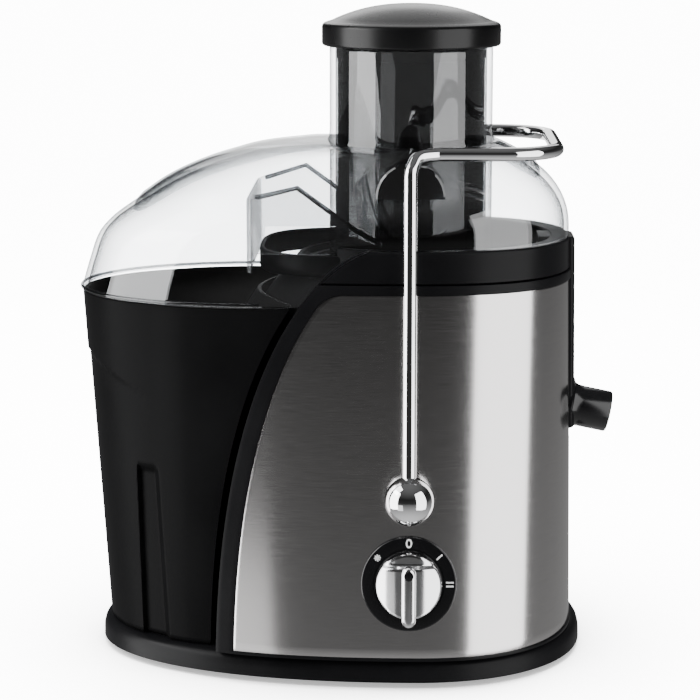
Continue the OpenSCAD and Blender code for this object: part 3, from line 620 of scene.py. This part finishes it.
def lid_top(x, y):
    """Height of the lid's outer skin over a point measured from the drive axis."""
    low, high = 190 * MM, LID_TOP
    for _ in range(30):
        z = (low + high) / 2
        right, left, depth, centre = lid_sizes(z)
        if x >= 0:
            u = (x / right) ** LID_POWER_R + (abs(y) / depth) ** LID_POWER_R
        else:
            over = max(0.0, -x - centre)
            u = (over / (left - centre)) ** LID_POWER_L + (abs(y) / depth) ** LID_POWER_L
        low, high = (z, high) if u < 1 else (low, z)
    return low


def build_spine():
    """Raised clear band along the crown of the lid, on both sides of the feed tube."""
    half, rise = 31 * MM, 1.5 * MM
    runs = [(-142 * MM, -30 * MM, 40), (30 * MM, 66 * MM, 16)]
    parts = []
    for n, (start, end, count) in enumerate(runs):
        rows = []
        for x in spread(start, end, count):
            edge = min(abs(x - start) if n == 0 else abs(end - x), 14 * MM) / (14 * MM)
            width = half * (0.72 + 0.28 * math.sqrt(max(0.0, 1 - (1 - edge) ** 2)))
            row = []
            for k in range(25):
                s = -1 + 2 * k / 24
                lift = rise * (1 - abs(s) ** 14) if edge > 0.02 else rise * 0.15
                row.append(Vector((AXIS_X + x, width * s, lid_top(x, width * s) + lift + 0.05 * MM)))
            rows.append(row)
        part = new_object(f"lid_spine_{n + 1}", *grid(rows))
        solidify(part, 0.9 * MM)
        parts.append(sharpen(part, 50))
    return parts


def build_tube():
    """Clear feed tube with a rolled lip and a small fillet where it leaves the dome."""
    r, wall = TUBE_R, TUBE_WALL
    profile = [(r - wall, TUBE_FOOT), (r, TUBE_FOOT), (r, 262 * MM), (r + 1.6 * MM, 262.4 * MM)]
    profile += [(r + 1.4 * MM, 266 * MM), (r + 0.3 * MM, 268.5 * MM), (r, 272 * MM), (r, TUBE_TOP - 1 * MM)]
    profile += arc_points(r - 1 * MM, TUBE_TOP - 1 * MM, 1 * MM, 0, 90, 4)
    profile += [(r - wall + 0.6 * MM, TUBE_TOP), (r - wall, TUBE_TOP - 0.8 * MM), (r - wall, TUBE_FOOT)]
    return sharpen(turned("feed_tube", profile, (AXIS_X, 0, 0), 128), 40)


def build_saddles():
    """Arched boss at the front and the rear, over which the bail snaps."""
    r, foot = 17.2 * MM, 243 * MM
    centre = LOOP_Z - WIRE_R - 0.6 * MM - r
    outline = [(-r, foot), (-r, centre)]
    outline += arc_points(0, centre, r, 172.8, 7.2, 25)
    outline += [(r, centre), (r, foot)]

    def arch(y, inset, drop=0.0):
        """The boss's outline at a depth, drawn in by an inset, with its foot lowered by a drop."""
        shrink = 1 - inset * MM / r
        loop = []
        for x, z in outline:
            lowered = drop * MM if z < centre else 0.0
            loop.append(Vector((AXIS_X + x * shrink, y * MM, centre + (z - centre) * shrink - lowered)))
        return loop

    parts = []
    for side, word in ((-1, "front"), (1, "rear")):
        loops = [arch(side * y, inset) for y, inset in ((40, 0), (63.2, 0), (64, 0.9))]
        boss = lofted(f"saddle_{word}", loops)
        cut(boss, lofted("cutter", [arch(side * y, 2.2, 3) for y in (41.5, 61.5)]))
        parts.append(sharpen(boss, 35))
    return parts


GUARD_TOP = [(-90, 239.5), (-78, 241), (-56.5, 247), (-28, 226), (-14, 218.5)]


def guard_top(x):
    """Height of the guard's upper edge: up to a peak, then down towards the tube."""
    points = [(a * MM, b * MM) for a, b in GUARD_TOP]
    for (x0, z0), (x1, z1) in zip(points, points[1:]):
        if x <= x1:
            return z0 + (z1 - z0) * (x - x0) / (x1 - x0)
    return points[-1][1]


def build_guard():
    """Clear wall that hangs round the collector's mouth and turns the pulp down."""
    half, left, corner = 51 * MM, -81.5 * MM, 8 * MM
    plan = [(x, -half) for x in spread(-14 * MM, left + corner, 40)]
    for k in range(1, 12):
        a = math.pi / 2 * k / 12
        plan.append((left + corner - corner * math.sin(a), -half + corner - corner * math.cos(a)))
    plan += [(left, y) for y in spread(-half + corner, 0, 8)]
    plan += [(x, -y) for x, y in reversed(plan[:-1])]
    rows = []
    for x, y in plan:
        top = min(guard_top(x), lid_top(x, y) - 2.9 * MM)
        foot = (203.5 if x < -79.5 * MM else 213.6) * MM
        rows.append([Vector((AXIS_X + x, y, z)) for z in spread(foot, top, 9)])
    guard = new_object("pulp_guard", *grid(rows))
    solidify(guard, 2.0 * MM, 0.0)
    return sharpen(bevel(guard, 0.35 * MM, 2, 50), 40)


def build_edges():
    """Thick rounded upper edge of the guard, and the bead along the lower edge of the lid."""
    line = []
    for x, z in GUARD_TOP[1:]:
        for_side = -51 * MM if x > -75 else -43 * MM
        line.append(Vector((AXIS_X + x * MM, for_side, min(z * MM, lid_top(x * MM, for_side) - 3 * MM))))
    parts = []
    for side, word in ((1, "front"), (-1, "rear")):
        points = [Vector((p.x, side * p.y, p.z)) for p in line]
        parts.append(sharpen(tube_along(f"guard_edge_{word}", points, 1.3 * MM, 12), 50))
    bead = []
    for k in range(160):
        a = math.pi * 0.5 + math.pi * k / 159
        right, left, depth, centre = lid_sizes(LID_FOOT)
        x, y = egg_point(a, right, left - centre, depth, LID_POWER_R, LID_POWER_L)
        bead.append(Vector((AXIS_X + x - centre, y, LID_FOOT + 1.0 * MM)))
    parts.append(sharpen(tube_along("lid_bead", bead, 0.8 * MM, 12), 50))
    return parts


def build_pusher():
    """Hollow pusher inside the tube, with a stepped collar under the cap."""
    r = PUSHER_R
    profile = [(0, 156 * MM), (r - 3 * MM, 156 * MM)]
    profile += arc_points(r - 3 * MM, 159 * MM, 3 * MM, -90, 0, 5)
    profile += [(r, 308 * MM), (r + 0.6 * MM, 308.6 * MM), (r + 0.6 * MM, 316 * MM), (0, 316 * MM)]
    return sharpen(turned("pusher_body", profile, (AXIS_X, 0, 0), 128), 40)


def build_cap():
    """Cap of the pusher: shallow dome above a rolled rim."""
    edge, top = 314.6 * MM, 336 * MM
    profile = [(0, edge + 1 * MM), (43.2 * MM, edge + 1 * MM), (44.2 * MM, edge)]
    profile += arc_points(44.4 * MM, edge + 1.6 * MM, 1.6 * MM, -90, 0, 6)
    profile += [(46 * MM, edge + 9.5 * MM)]
    profile += arc_points(43.6 * MM, edge + 9.5 * MM, 2.4 * MM, 0, 80, 7)
    profile += [(43.2 * MM, edge + 12.2 * MM), (42.4 * MM, edge + 12.4 * MM)]
    base, steps = edge + 12.6 * MM, 14
    for k in range(steps + 1):
        out = 1 - k / steps
        profile.append((41.6 * MM * out, base + (top - base) * (1 - out**2.3)))
    return sharpen(turned("cap_shell", profile, (AXIS_X, 0, 0), 128), 35)


# ------------------ bail


def build_bail():
    """One bent wire: front leg, over the front saddle, round the tube, and down at the rear."""
    ball_y = body_half_depth(PIVOT_Z) + 12 * MM
    corners = [(0, -ball_y, PIVOT_Z + 2 * MM), (0, -70.3 * MM, 257.5 * MM)]
    corners += [(3.5 * MM, -64.5 * MM, 264.6 * MM), (14 * MM, -LOOP_Y, LOOP_Z), (LOOP_REACH, -LOOP_Y, LOOP_Z)]
    corners += [(x, -y, z) for x, y, z in reversed(corners)]
    pts = [Vector((AXIS_X + x, y, z)) for x, y, z in corners]
    path = [pts[0]]
    radii = [0, 8 * MM, 7 * MM, 16 * MM, 46 * MM]
    radii += reversed(radii)
    for i in range(1, len(pts) - 1):
        a, b, c = pts[i - 1], pts[i], pts[i + 1]
        u, v = (a - b).normalized(), (c - b).normalized()
        half = u.angle(v) / 2
        cut = min(radii[i] / math.tan(half), (a - b).length * 0.48, (c - b).length * 0.48)
        radius = cut * math.tan(half)
        centre = b + (u + v).normalized() * (cut / math.cos(half))
        start, end = b + u * cut, b + v * cut
        first, last = (start - centre), (end - centre)
        total = first.angle(last)
        axis = first.cross(last).normalized()
        for k in range(15):
            path.append(centre + Matrix.Rotation(total * k / 14, 3, axis) @ first)
    path.append(pts[-1])
    return sharpen(tube_along("bail_wire", path, WIRE_R, 40), 40)


def build_balls():
    """Polished ball at each end of the bail, with a small collar against the housing."""
    parts = []
    ball_y = body_half_depth(PIVOT_Z) + 12 * MM
    for side, word in ((-1, "front"), (1, "rear")):
        turn = Matrix.Rotation(side * -math.pi / 2, 4, "X")
        centre = (AXIS_X, side * ball_y, PIVOT_Z)
        arc = [(BALL_R * math.sin(a), -BALL_R * math.cos(a)) for a in spread(0.12, math.pi - 0.12, 40)]
        parts.append(turned(f"ball_{word}", [(0, -BALL_R)] + arc + [(0, BALL_R)], centre, 80, turn))
        collar = [(0, -13.4), (8.6, -13.4), (8.6, -11.6), (7.8, -10.6), (6.0, -10.0), (0, -10)]
        collar = [(r * MM, h * MM) for r, h in collar]
        parts.append(sharpen(turned(f"ball_collar_{word}", collar, centre, 64, turn), 40))
    return parts


# ------------------ controls

FACE_AT_KNOB = body_half_depth(KNOB_Z)
KNOB_PLACE = Matrix.Translation((AXIS_X, -FACE_AT_KNOB, KNOB_Z)) @ Matrix.Rotation(math.pi / 2 - LEAN, 4, "X")


def placed_on_face(obj):
    """Moves a mesh built at the origin, +Z out and +Y up, onto the face of the housing."""
    obj.data.transform(KNOB_PLACE)
    return obj


def build_dial():
    """Gloss disc round the knob, with a rolled edge and a shallow step under the knob's rim."""
    hole, back, step = 6 * MM, 0.1 * MM, 1.4 * MM
    profile = [(hole, back), (DIAL_R, back), (DIAL_R, 1.0 * MM)]
    profile += arc_points(DIAL_R - 0.8 * MM, 1.0 * MM, 0.8 * MM, 0, 90, 5)
    profile += [(KNOB_R + 1.2 * MM, 1.8 * MM), (KNOB_R + 0.9 * MM, step), (hole, step), (hole, back)]
    return sharpen(placed_on_face(turned("dial_disc", profile, count=128)), 35)


def stroke(points, width, name):
    """A flat printed stroke through points on the dial."""
    pts = [Vector((x, y, 0)) for x, y in points]
    closed = (pts[0] - pts[-1]).length < 1e-6
    n = len(pts)
    lift = Vector((0, 0, 1.84 * MM))
    rows = []
    for i, p in enumerate(pts):
        a = pts[i - 1] if i > 0 else (pts[-2] if closed else p)
        b = pts[i + 1] if i < n - 1 else (pts[1] if closed else p)
        t = (b - a).normalized()
        side = Vector((-t.y, t.x, 0)) * width / 2
        rows.append([p - side + lift, p + side + lift])
    obj = new_object(name, *grid(rows), smooth=False)
    solidify(obj, 0.06 * MM, 0.0)
    return obj


def build_marks():
    """White marks of the dial: 0 at the top, then I and II, and a small star for short bursts."""
    r = 20.4 * MM
    w = 0.8 * MM

    def at(angle, x, y, turn=None):
        """A point near the mark at an angle, given along its own axes in millimetres."""
        a, t = math.radians(angle), math.radians(angle if turn is None else turn)
        along = (x * math.cos(t) + y * math.sin(t)) * MM
        up = (y * math.cos(t) - x * math.sin(t)) * MM
        return r * math.sin(a) + along, r * math.cos(a) + up

    zero = [at(0, 1.2 * math.cos(t), 1.9 * math.sin(t)) for t in spread(0, 2 * math.pi, 25)]
    marks = [stroke(zero, w, "mark_zero")]
    marks.append(stroke([at(48, 0, -1.9), at(48, 0, 1.9)], w, "mark_one"))
    for n, offset in enumerate((-0.95, 0.95)):
        marks.append(stroke([at(90, offset, -1.9), at(90, offset, 1.9)], w, f"mark_two_{n + 1}"))
    for k in range(4):
        c, d = math.cos(math.pi * k / 4), math.sin(math.pi * k / 4)
        ray = [at(-50, -1.7 * c, -1.7 * d), at(-50, 1.7 * c, 1.7 * d)]
        marks.append(stroke(ray, w * 0.7, f"mark_star_{k + 1}"))
    return [placed_on_face(mark) for mark in marks]


def knob_height(x, y):
    """The knob's face: a rounded lobe on each side of the grip, falling off below the top."""
    off = max(0.0, abs(x) - 4.2 * MM) / (12.3 * MM)
    height = 9.6 * MM - 5.4 * MM * off**1.7
    crease = smooth_step((y - 8.6 * MM) / (2.2 * MM))
    return height - crease * 2.2 * MM


def build_knob():
    """Turned knob: two rounded lobes, a grip bar past its lower edge, and a pointer notch."""
    base, foot = 2.3 * MM, 0.6 * MM
    count, steps = 128, 26
    rows = [[(KNOB_R - 0.5 * MM, 0.0)] * count, [(KNOB_R, foot)] * count]
    angles = [2 * math.pi * k / count for k in range(count)]
    for ring in range(steps + 1):
        t = 1 - ring / steps
        row = []
        for a in angles:
            z = knob_height(KNOB_R * t * math.cos(a), KNOB_R * t * math.sin(a))
            row.append((KNOB_R * t, foot + (z - foot) * (1 - max(0.0, (t - 0.93) / 0.07) ** 3 * 0.28)))
        rows.append(row)
    rings = []
    for row in rows:
        rings.append([Vector((r * math.cos(a), r * math.sin(a), base + z)) for a, (r, z) in zip(angles, row)])
    verts, faces = grid(rings, closed=True)
    faces.append(tuple(range(count - 1, -1, -1)))
    disc = new_object("knob_disc", verts, faces)
    half, top, low = 3.9 * MM, 10.8 * MM, 20.2 * MM
    outline = arc_points(0, top - half, half, 0, 180, 16) + arc_points(0, half - low, half, 180, 360, 16)
    loops = []
    for z, inset in ((0.2, 0.0), (10.6, 0.25), (12.2, 0.6), (13.0, 1.2), (13.4, 2.0), (13.5, 2.9)):
        scale = 1 - inset * MM / half
        drawn = [(x * scale, y - math.copysign(inset * MM, y)) for x, y in outline]
        loops.append([Vector((x, y, base + z * MM)) for x, y in drawn])
    grip = lofted("knob_grip", loops)
    button = [(0, 13.0), (2.0, 13.0), (2.4, 13.4), (2.3, 13.75), (1.6, 13.95), (0, 14.0)]
    notch = turned("knob_pointer", [(r * MM, base + h * MM) for r, h in button], count=48)
    notch.data.transform(Matrix.Translation((0, 6.2 * MM, 0)))
    return [sharpen(placed_on_face(part), 40) for part in (disc, grip, notch)]


# ------------------ materials


class Nodes:
    """Short calls for building one node material."""

    def __init__(self, name):
        self.material = bpy.data.materials.new(name)
        self.material.use_nodes = True
        self.tree = self.material.node_tree
        self.shader = self.tree.nodes["Principled BSDF"]

    def add(self, kind, **settings):
        """A new node; each setting fills the input of its name, or else the node's own field."""
        node = self.tree.nodes.new(kind)
        for key, value in settings.items():
            socket = key.replace("_", " ")
            if socket in node.inputs:
                node.inputs[socket].default_value = value
            else:
                setattr(node, key, value)
        return node

    def link(self, source, out, target, into):
        self.tree.links.new(source.outputs[out], target.inputs[into])

    def set(self, **values):
        for key, value in values.items():
            self.shader.inputs[key.replace("_", " ")].default_value = value

    def texture(self, kind, stretch=(1, 1, 1), shift=(0, 0, 0), **settings):
        """A texture laid in the object's own coordinates, stretched and shifted."""
        place = self.add("ShaderNodeTexCoord")
        mapping = self.add("ShaderNodeMapping", Scale=stretch, Location=shift)
        tex = self.add(kind, **settings)
        self.link(place, "Object", mapping, "Vector")
        self.link(mapping, "Vector", tex, "Vector")
        return tex

    def noise(self, scale, stretch=(1, 1, 1), detail=3.0, rough=0.5):
        return self.texture("ShaderNodeTexNoise", stretch, Scale=scale, Detail=detail, Roughness=rough)

    def remap(self, tex, low, high):
        node = self.add("ShaderNodeMapRange", From_Min=0.3, From_Max=0.7, To_Min=low, To_Max=high)
        self.link(tex, "Fac", node, "Value")
        return node

    def rough(self, tex, low, high):
        self.link(self.remap(tex, low, high), "Result", self.shader, "Roughness")

    def blend(self, factor, out, low, high, target, into):
        """Feeds a socket a colour that runs from one to another as a factor goes from 0 to 1."""
        mix = self.add("ShaderNodeMix", data_type="RGBA")
        mix.inputs[6].default_value = (*low, 1)
        mix.inputs[7].default_value = (*high, 1)
        self.link(factor, out, mix, 0)
        self.link(mix, 2, target, into)

    def colour(self, tex, low, high):
        self.blend(self.remap(tex, 0, 1), "Result", low, high, self.shader, "Base Color")

    def bump(self, tex, strength, distance, out="Fac"):
        node = self.add("ShaderNodeBump", Strength=strength, Distance=distance)
        self.link(tex, out, node, "Height")
        self.link(node, "Normal", self.shader, "Normal")


def moulded_plastic(name, colour, rough, grain=2600.0, strength=0.08, spread_by=0.05, shine=0.25):
    """Moulded plastic with a fine spark-eroded grain and slightly uneven gloss."""
    m = Nodes(name)
    fine = m.noise(grain, detail=2.0)
    broad = m.noise(28.0, detail=3.0)
    m.colour(broad, [c * 0.86 for c in colour], [c * 1.14 for c in colour])
    m.rough(broad, rough - spread_by, rough + spread_by)
    m.bump(fine, strength, 0.00006)
    m.set(Specular_IOR_Level=shine)
    return m.material


def brushed_steel(name, colour, rough):
    """Brushed stainless steel: fine lines that run round the body."""
    m = Nodes(name)
    lines = m.noise(260.0, (0.35, 0.35, 16.0), detail=4.0, rough=0.6)
    m.colour(lines, [c * 0.94 for c in colour], [c * 1.04 for c in colour])
    m.rough(lines, rough - 0.03, rough + 0.04)
    m.bump(lines, 0.08, 0.00003)
    round_axis = m.add("ShaderNodeTangent", direction_type="RADIAL", axis="Z")
    m.link(round_axis, "Tangent", m.shader, "Tangent")
    m.set(Metallic=1.0, Anisotropic=0.45, Anisotropic_Rotation=0.25)
    return m.material


def metal(name, colour, rough, grain=900.0, strength=0.03, spread_by=0.03):
    """Plain metal with faint wear in its gloss."""
    m = Nodes(name)
    fine = m.noise(grain, detail=3.0)
    broad = m.noise(60.0, detail=3.0)
    m.colour(broad, [c * 0.94 for c in colour], [c * 1.03 for c in colour])
    m.rough(broad, max(0.01, rough - spread_by), rough + spread_by)
    m.bump(fine, strength, 0.00002)
    m.set(Metallic=1.0)
    return m.material


def turned_metal(name, colour, rough):
    """Lathe-turned metal with fine concentric lines about the knob's axis."""
    m = Nodes(name)
    rings = m.texture("ShaderNodeTexWave", shift=(-AXIS_X, 0, -KNOB_Z), wave_type="RINGS",
                      rings_direction="Y", Scale=900.0, Distortion=0.6)
    broad = m.noise(40.0)
    m.colour(broad, [c * 0.95 for c in colour], colour)
    m.rough(broad, rough - 0.03, rough + 0.05)
    m.bump(rings, 0.10, 0.00002)
    m.set(Metallic=1.0)
    return m.material


def clear_plastic(name, tint):
    """Clear thin-walled plastic: seen straight through, smokier and shinier towards its edges."""
    m = Nodes(name)
    flow = m.noise(22.0, (1, 1, 2.2), detail=2.0)
    m.colour(flow, (0.90, 0.91, 0.92), (0.96, 0.96, 0.96))
    m.rough(flow, 0.012, 0.03)
    m.bump(flow, 0.04, 0.0004)
    m.set(Metallic=1.0)
    facing = m.add("ShaderNodeLayerWeight")
    steep = m.add("ShaderNodeMath", operation="POWER")
    steep.inputs[1].default_value = 4.0
    m.link(facing, "Facing", steep, 0)
    gloss = m.add("ShaderNodeMapRange", To_Min=0.07, To_Max=0.75)
    m.link(steep, "Value", gloss, "Value")
    through = m.add("ShaderNodeBsdfTransparent")
    m.blend(steep, "Value", tint, (0.38, 0.39, 0.40), through, "Color")
    both = m.add("ShaderNodeMixShader")
    m.link(gloss, "Result", both, 0)
    m.link(through, "BSDF", both, 1)
    m.link(m.shader, "BSDF", both, 2)
    m.link(both, "Shader", m.tree.nodes["Material Output"], "Surface")
    return m.material


def printed_white(name):
    """White print with a faint fleck."""
    m = Nodes(name)
    fleck = m.noise(3000.0)
    m.colour(fleck, (0.78, 0.78, 0.78), (0.86, 0.86, 0.85))
    m.rough(fleck, 0.38, 0.5)
    return m.material


def wound_copper(name):
    """Enamelled copper wire, seen as close turns."""
    m = Nodes(name)
    turns = m.texture("ShaderNodeTexWave", bands_direction="Z", Scale=420.0, Distortion=1.2)
    m.colour(turns, (0.24, 0.07, 0.025), (0.55, 0.20, 0.08))
    m.bump(turns, 0.5, 0.0003)
    m.rough(turns, 0.3, 0.42)
    m.set(Metallic=0.8)
    return m.material


def laminations(name):
    """Stacked steel sheets of the motor's cores."""
    m = Nodes(name)
    sheets = m.texture("ShaderNodeTexWave", bands_direction="Z", Scale=320.0)
    m.colour(sheets, (0.16, 0.15, 0.14), (0.36, 0.35, 0.33))
    m.bump(sheets, 0.3, 0.0002)
    m.rough(sheets, 0.42, 0.55)
    m.set(Metallic=0.9)
    return m.material


def sieve_steel(name):
    """Etched stainless sieve: rows of fine dark holes."""
    m = Nodes(name)
    holes = m.texture("ShaderNodeTexVoronoi", Scale=620.0, Randomness=0.15)
    ramp = m.add("ShaderNodeMapRange", From_Min=0.22, From_Max=0.34)
    m.link(holes, "Distance", ramp, "Value")
    m.blend(ramp, "Result", (0.03, 0.03, 0.03), (0.56, 0.55, 0.53), m.shader, "Base Color")
    m.bump(ramp, 0.5, 0.0002, "Result")
    m.set(Metallic=1.0, Roughness=0.32)
    return m.material


def dress(obj, material):
    """Gives an object one material in place of whatever it had."""
    obj.data.materials.clear()
    obj.data.materials.append(material)
    return obj


# ------------------ building the visual model

satin_black = moulded_plastic("satin_black", (0.0045, 0.0045, 0.005), 0.34, shine=0.09)
pusher_black = moulded_plastic("pusher_black", (0.003, 0.003, 0.003), 0.24, strength=0.02, shine=0.04)
bin_black = moulded_plastic("bin_black", (0.0042, 0.0042, 0.0044), 0.4, strength=0.1, shine=0.02)
gloss_black = moulded_plastic("gloss_black", (0.004, 0.004, 0.0045), 0.17, strength=0.03,
                              spread_by=0.02, shine=0.4)
matte_black = moulded_plastic("matte_black", (0.014, 0.014, 0.015), 0.5, strength=0.14)
cap_grey = moulded_plastic("cap_grey", (0.003, 0.003, 0.0032), 0.28, strength=0.05, shine=0.24)
steel = brushed_steel("brushed_stainless", (0.61, 0.595, 0.59), 0.17)
chrome = metal("polished_chrome", (0.86, 0.86, 0.87), 0.04, spread_by=0.015, strength=0.01)
knob_metal = turned_metal("turned_knob", (0.78, 0.78, 0.79), 0.16)
clear = clear_plastic("clear_lid", (0.86, 0.865, 0.87))
# A darker clear: painted shade for the dark look that refraction gives the thick edges, the saddles and the
# bead.
clear_edge_shade = clear_plastic("clear_edges_painted_shade", (0.30, 0.31, 0.32))
white_print = printed_white("white_print")
soft_rubber = moulded_plastic("soft_rubber", (0.02, 0.02, 0.021), 0.72, grain=1500.0, strength=0.18)
bare_steel = metal("bare_steel", (0.52, 0.52, 0.52), 0.3)
copper_wire = wound_copper("enamelled_copper")
core_steel = laminations("core_laminations")
sieve = sieve_steel("sieve_steel")
die_cast = metal("die_cast", (0.55, 0.56, 0.57), 0.5, grain=400.0, strength=0.15)
brass = metal("brass_parts", (0.62, 0.44, 0.18), 0.32)
carbon = moulded_plastic("carbon", (0.02, 0.02, 0.022), 0.6)
amber = moulded_plastic("amber_plastic", (0.45, 0.33, 0.05), 0.35)
spring_steel = metal("spring_steel", (0.45, 0.45, 0.46), 0.25)


def use(parts, body, material, slot, *nodes):
    """Dresses pieces, ties them to a body and a finish, and lets them stand for CAD nodes."""
    for part in parts if isinstance(parts, list) else [parts]:
        dress(part, material)
        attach(part, body)
        if nodes:
            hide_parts(*nodes)


use(build_housing(), "base", satin_black, "motor_housing", "motor_housing")
use(build_steel(), "base", steel, "steel_wrap", "steel_wrap")
use(build_tray(), "base", satin_black, "base_tray", "base_tray")
use(build_bin(), "container", bin_black, "pulp_container", "pulp_container")
for piece in (build_band(), build_mouth(), build_apron()):
    use(piece, "base", satin_black, "juice_collector", "juice_collector")
use(build_bowl(), "base", satin_black, "collector_bowl", "collector_bowl", "collector_floor")
use(build_spout(), "base", gloss_black, "juice_spout", "juice_spout")
use(build_tube(), "base", clear, "feed_tube", "feed_tube")
use([build_lid(), build_guard()] + build_spine(), "base", clear, "lid", "lid")
# Saddles, guard edges and lid bead take the darker clear, which is painted shade.
use(build_saddles() + build_edges(), "base", clear_edge_shade, "lid", "lid")
use(build_pusher(), "pusher", pusher_black, "pusher", "pusher")
use(build_cap(), "pusher", cap_grey, "pusher_cap", "pusher_cap")
use(build_bail(), "bail", chrome, "bail", "bail")
use(build_balls(), "bail", chrome, "pivot_balls", "pivot_balls")
use(build_dial(), "base", gloss_black, "dial_plate", "dial_plate")
use(build_marks(), "base", white_print, "dial_plate")
knob_disc, knob_grip, knob_pointer = build_knob()
use([knob_disc, knob_grip], "knob", knob_metal, "speed_knob", "speed_knob")
use(knob_pointer, "knob", gloss_black, "speed_knob", "speed_knob")

FINISHES = {
    soft_rubber: ["rubber_feet", "cord_grommet", "motor_grommets", "shaft_seal"],
    matte_black: ["base_cover", "basket_rim", "basket_hub", "drive_coupling", "cooling_fan", "pivot_bushes",
                  "safety_cam", "safety_switch", "rotary_switch"],
    bare_steel: ["base_screws", "switch_spindle", "pivot_pins", "motor_shaft", "motor_screws", "grater_disc",
                 "upper_bearing", "lower_bearing"],
    spring_steel: ["pivot_clips", "brush_springs"],
    brass: ["switch_nut", "brush_holders"],
    copper_wire: ["armature_windings", "field_windings", "commutator"],
    core_steel: ["armature_core", "stator_core"],
    die_cast: ["upper_bracket", "lower_bracket"],
    carbon: ["carbon_brushes"],
    amber: ["suppression_capacitor"],
    sieve: ["filter_mesh"],
}
for finish, names in FINISHES.items():
    for name in names:
        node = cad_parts[name]
        for slot in node.material_slots:
            slot.material = finish

# ------------------ studio


def glowing_white(name, glow):
    """Studio white that glows, with a painted contact shadow: the glow drops where something stands close to
    it.
    """
    m = Nodes(name)
    grain = m.noise(180.0)
    m.colour(grain, (0.90, 0.90, 0.90), (0.93, 0.93, 0.93))
    m.rough(grain, 0.6, 0.65)
    # Painted contact shadow: ambient occlusion dims the glow near the juicer's foot.
    painted_shadow_ao = m.add("ShaderNodeAmbientOcclusion", samples=8, Distance=0.22)
    fade = m.add("ShaderNodeMapRange", interpolation_type="SMOOTHSTEP", From_Min=0.35,
                 To_Min=glow * 0.04, To_Max=glow)
    m.link(painted_shadow_ao, "AO", fade, "Value")
    m.link(fade, "Result", m.shader, "Emission Strength")
    m.set(Emission_Color=(1, 1, 1, 1))
    return m.material


def build_stage():
    """Pale floor whose soft shadow is mostly painted into its glow and partly cast by the lamps, and a white
    surround behind it.
    """
    floor = turned("studio_floor", [(0, 0), (14, 0)])
    surround = turned("studio_surround", arc_points(0, 0, 13.8, -88, 88, 24), count=48)
    white = glowing_white("studio_white_painted_shadow", 12.0)
    for part in (floor, surround):
        dress(part, white)
        part.visible_glossy = False
        part.visible_diffuse = False
        part.visible_shadow = False


def studio_air():
    """Light from all round: bright from below, where the table is, dim at eye level and above."""
    world = bpy.data.worlds.new("studio_air")
    world.use_nodes = True
    tree = world.node_tree
    place = tree.nodes.new("ShaderNodeTexCoord")
    split = tree.nodes.new("ShaderNodeSeparateXYZ")
    ramp = tree.nodes.new("ShaderNodeValToRGB")
    lift = tree.nodes.new("ShaderNodeMapRange")
    lift.inputs["From Min"].default_value = -1.0
    tree.links.new(place.outputs["Generated"], split.inputs[0])
    tree.links.new(split.outputs["Z"], lift.inputs["Value"])
    tree.links.new(lift.outputs["Result"], ramp.inputs["Fac"])
    tree.links.new(ramp.outputs["Color"], tree.nodes["Background"].inputs["Color"])
    ends = ramp.color_ramp.elements
    for height, bright in ((-0.35, 0.32), (-0.09, 0.16), (-0.02, 0.08), (0.05, 0.035), (0.35, 0.02)):
        stop = ends.new((height + 1) / 2)
        stop.color = (bright, bright, bright, 1)
    ends[0].color = (0.8, 0.8, 0.8, 1)
    ends[-1].color = (0.15, 0.15, 0.15, 1)
    return world


def area(name, place, target, size, radiance):
    """A rectangular softbox at a place, aimed at a target, as bright as asked."""
    light = bpy.data.lights.new(name, "AREA")
    light.shape = "RECTANGLE"
    light.size, light.size_y = size
    light.energy = radiance * math.pi * size[0] * size[1]
    lamp = bpy.data.objects.new(name, light)
    lamp.location = place
    lamp.rotation_euler = (Vector(target) - Vector(place)).to_track_quat("-Z", "Y").to_euler()
    bpy.context.collection.objects.link(lamp)


def round_about(azimuth, distance, height):
    """A place at an azimuth in degrees, measured from the front towards the right."""
    a = math.radians(azimuth)
    return AXIS_X + distance * math.sin(a), -distance * math.cos(a), height


def build_studio():
    """Floor and surround, softboxes at both sides, canopies over the lid, and light from the sky."""
    build_stage()
    middle = (AXIS_X, 0.0, 0.30)
    area("softbox_right", round_about(55.5, 0.9, 0.3), middle, (0.82, 1.3), 4.0)
    area("softbox_left", round_about(-73, 0.95, 0.3), middle, (0.8, 1.3), 7.0)
    area("card_left", round_about(-39, 0.9, -0.2), (AXIS_X, 0, -0.2), (0.40, 0.4), 1.2)
    area("canopy_left", (-0.8, -0.1, 0.95), (0.0, 0.0, 0.2), (0.7, 0.7), 4.0)
    area("canopy_rear", (0.03, 1.0, 1.1), (0.0, 0.0, 0.3), (1.1, 1.1), 1.2)
    area("softbox_rear", round_about(184, 1.1, 0.3), middle, (0.45, 1.1), 2.0)
    sun = bpy.data.lights.new("sky_light", "SUN")
    sun.energy = 5.0
    sun.angle = math.radians(90)
    lamp = bpy.data.objects.new("sky_light", sun)
    lamp.visible_glossy = False
    bpy.context.collection.objects.link(lamp)
    bpy.context.scene.world = studio_air()


def build_camera():
    """A long lens a little above the lid, looking slightly down and to the left."""
    camera = bpy.data.cameras.new("camera")
    camera.lens = 123.5314
    camera.sensor_width = 36
    camera.clip_end = 60
    viewer = bpy.data.objects.new("camera", camera)
    viewer.location = (AXIS_X, -1.240, 0.394)
    viewer.rotation_euler = (math.radians(90 - 10.9), 0, math.radians(1.455))
    bpy.context.collection.objects.link(viewer)
    bpy.context.scene.camera = viewer


build_studio()
build_camera()
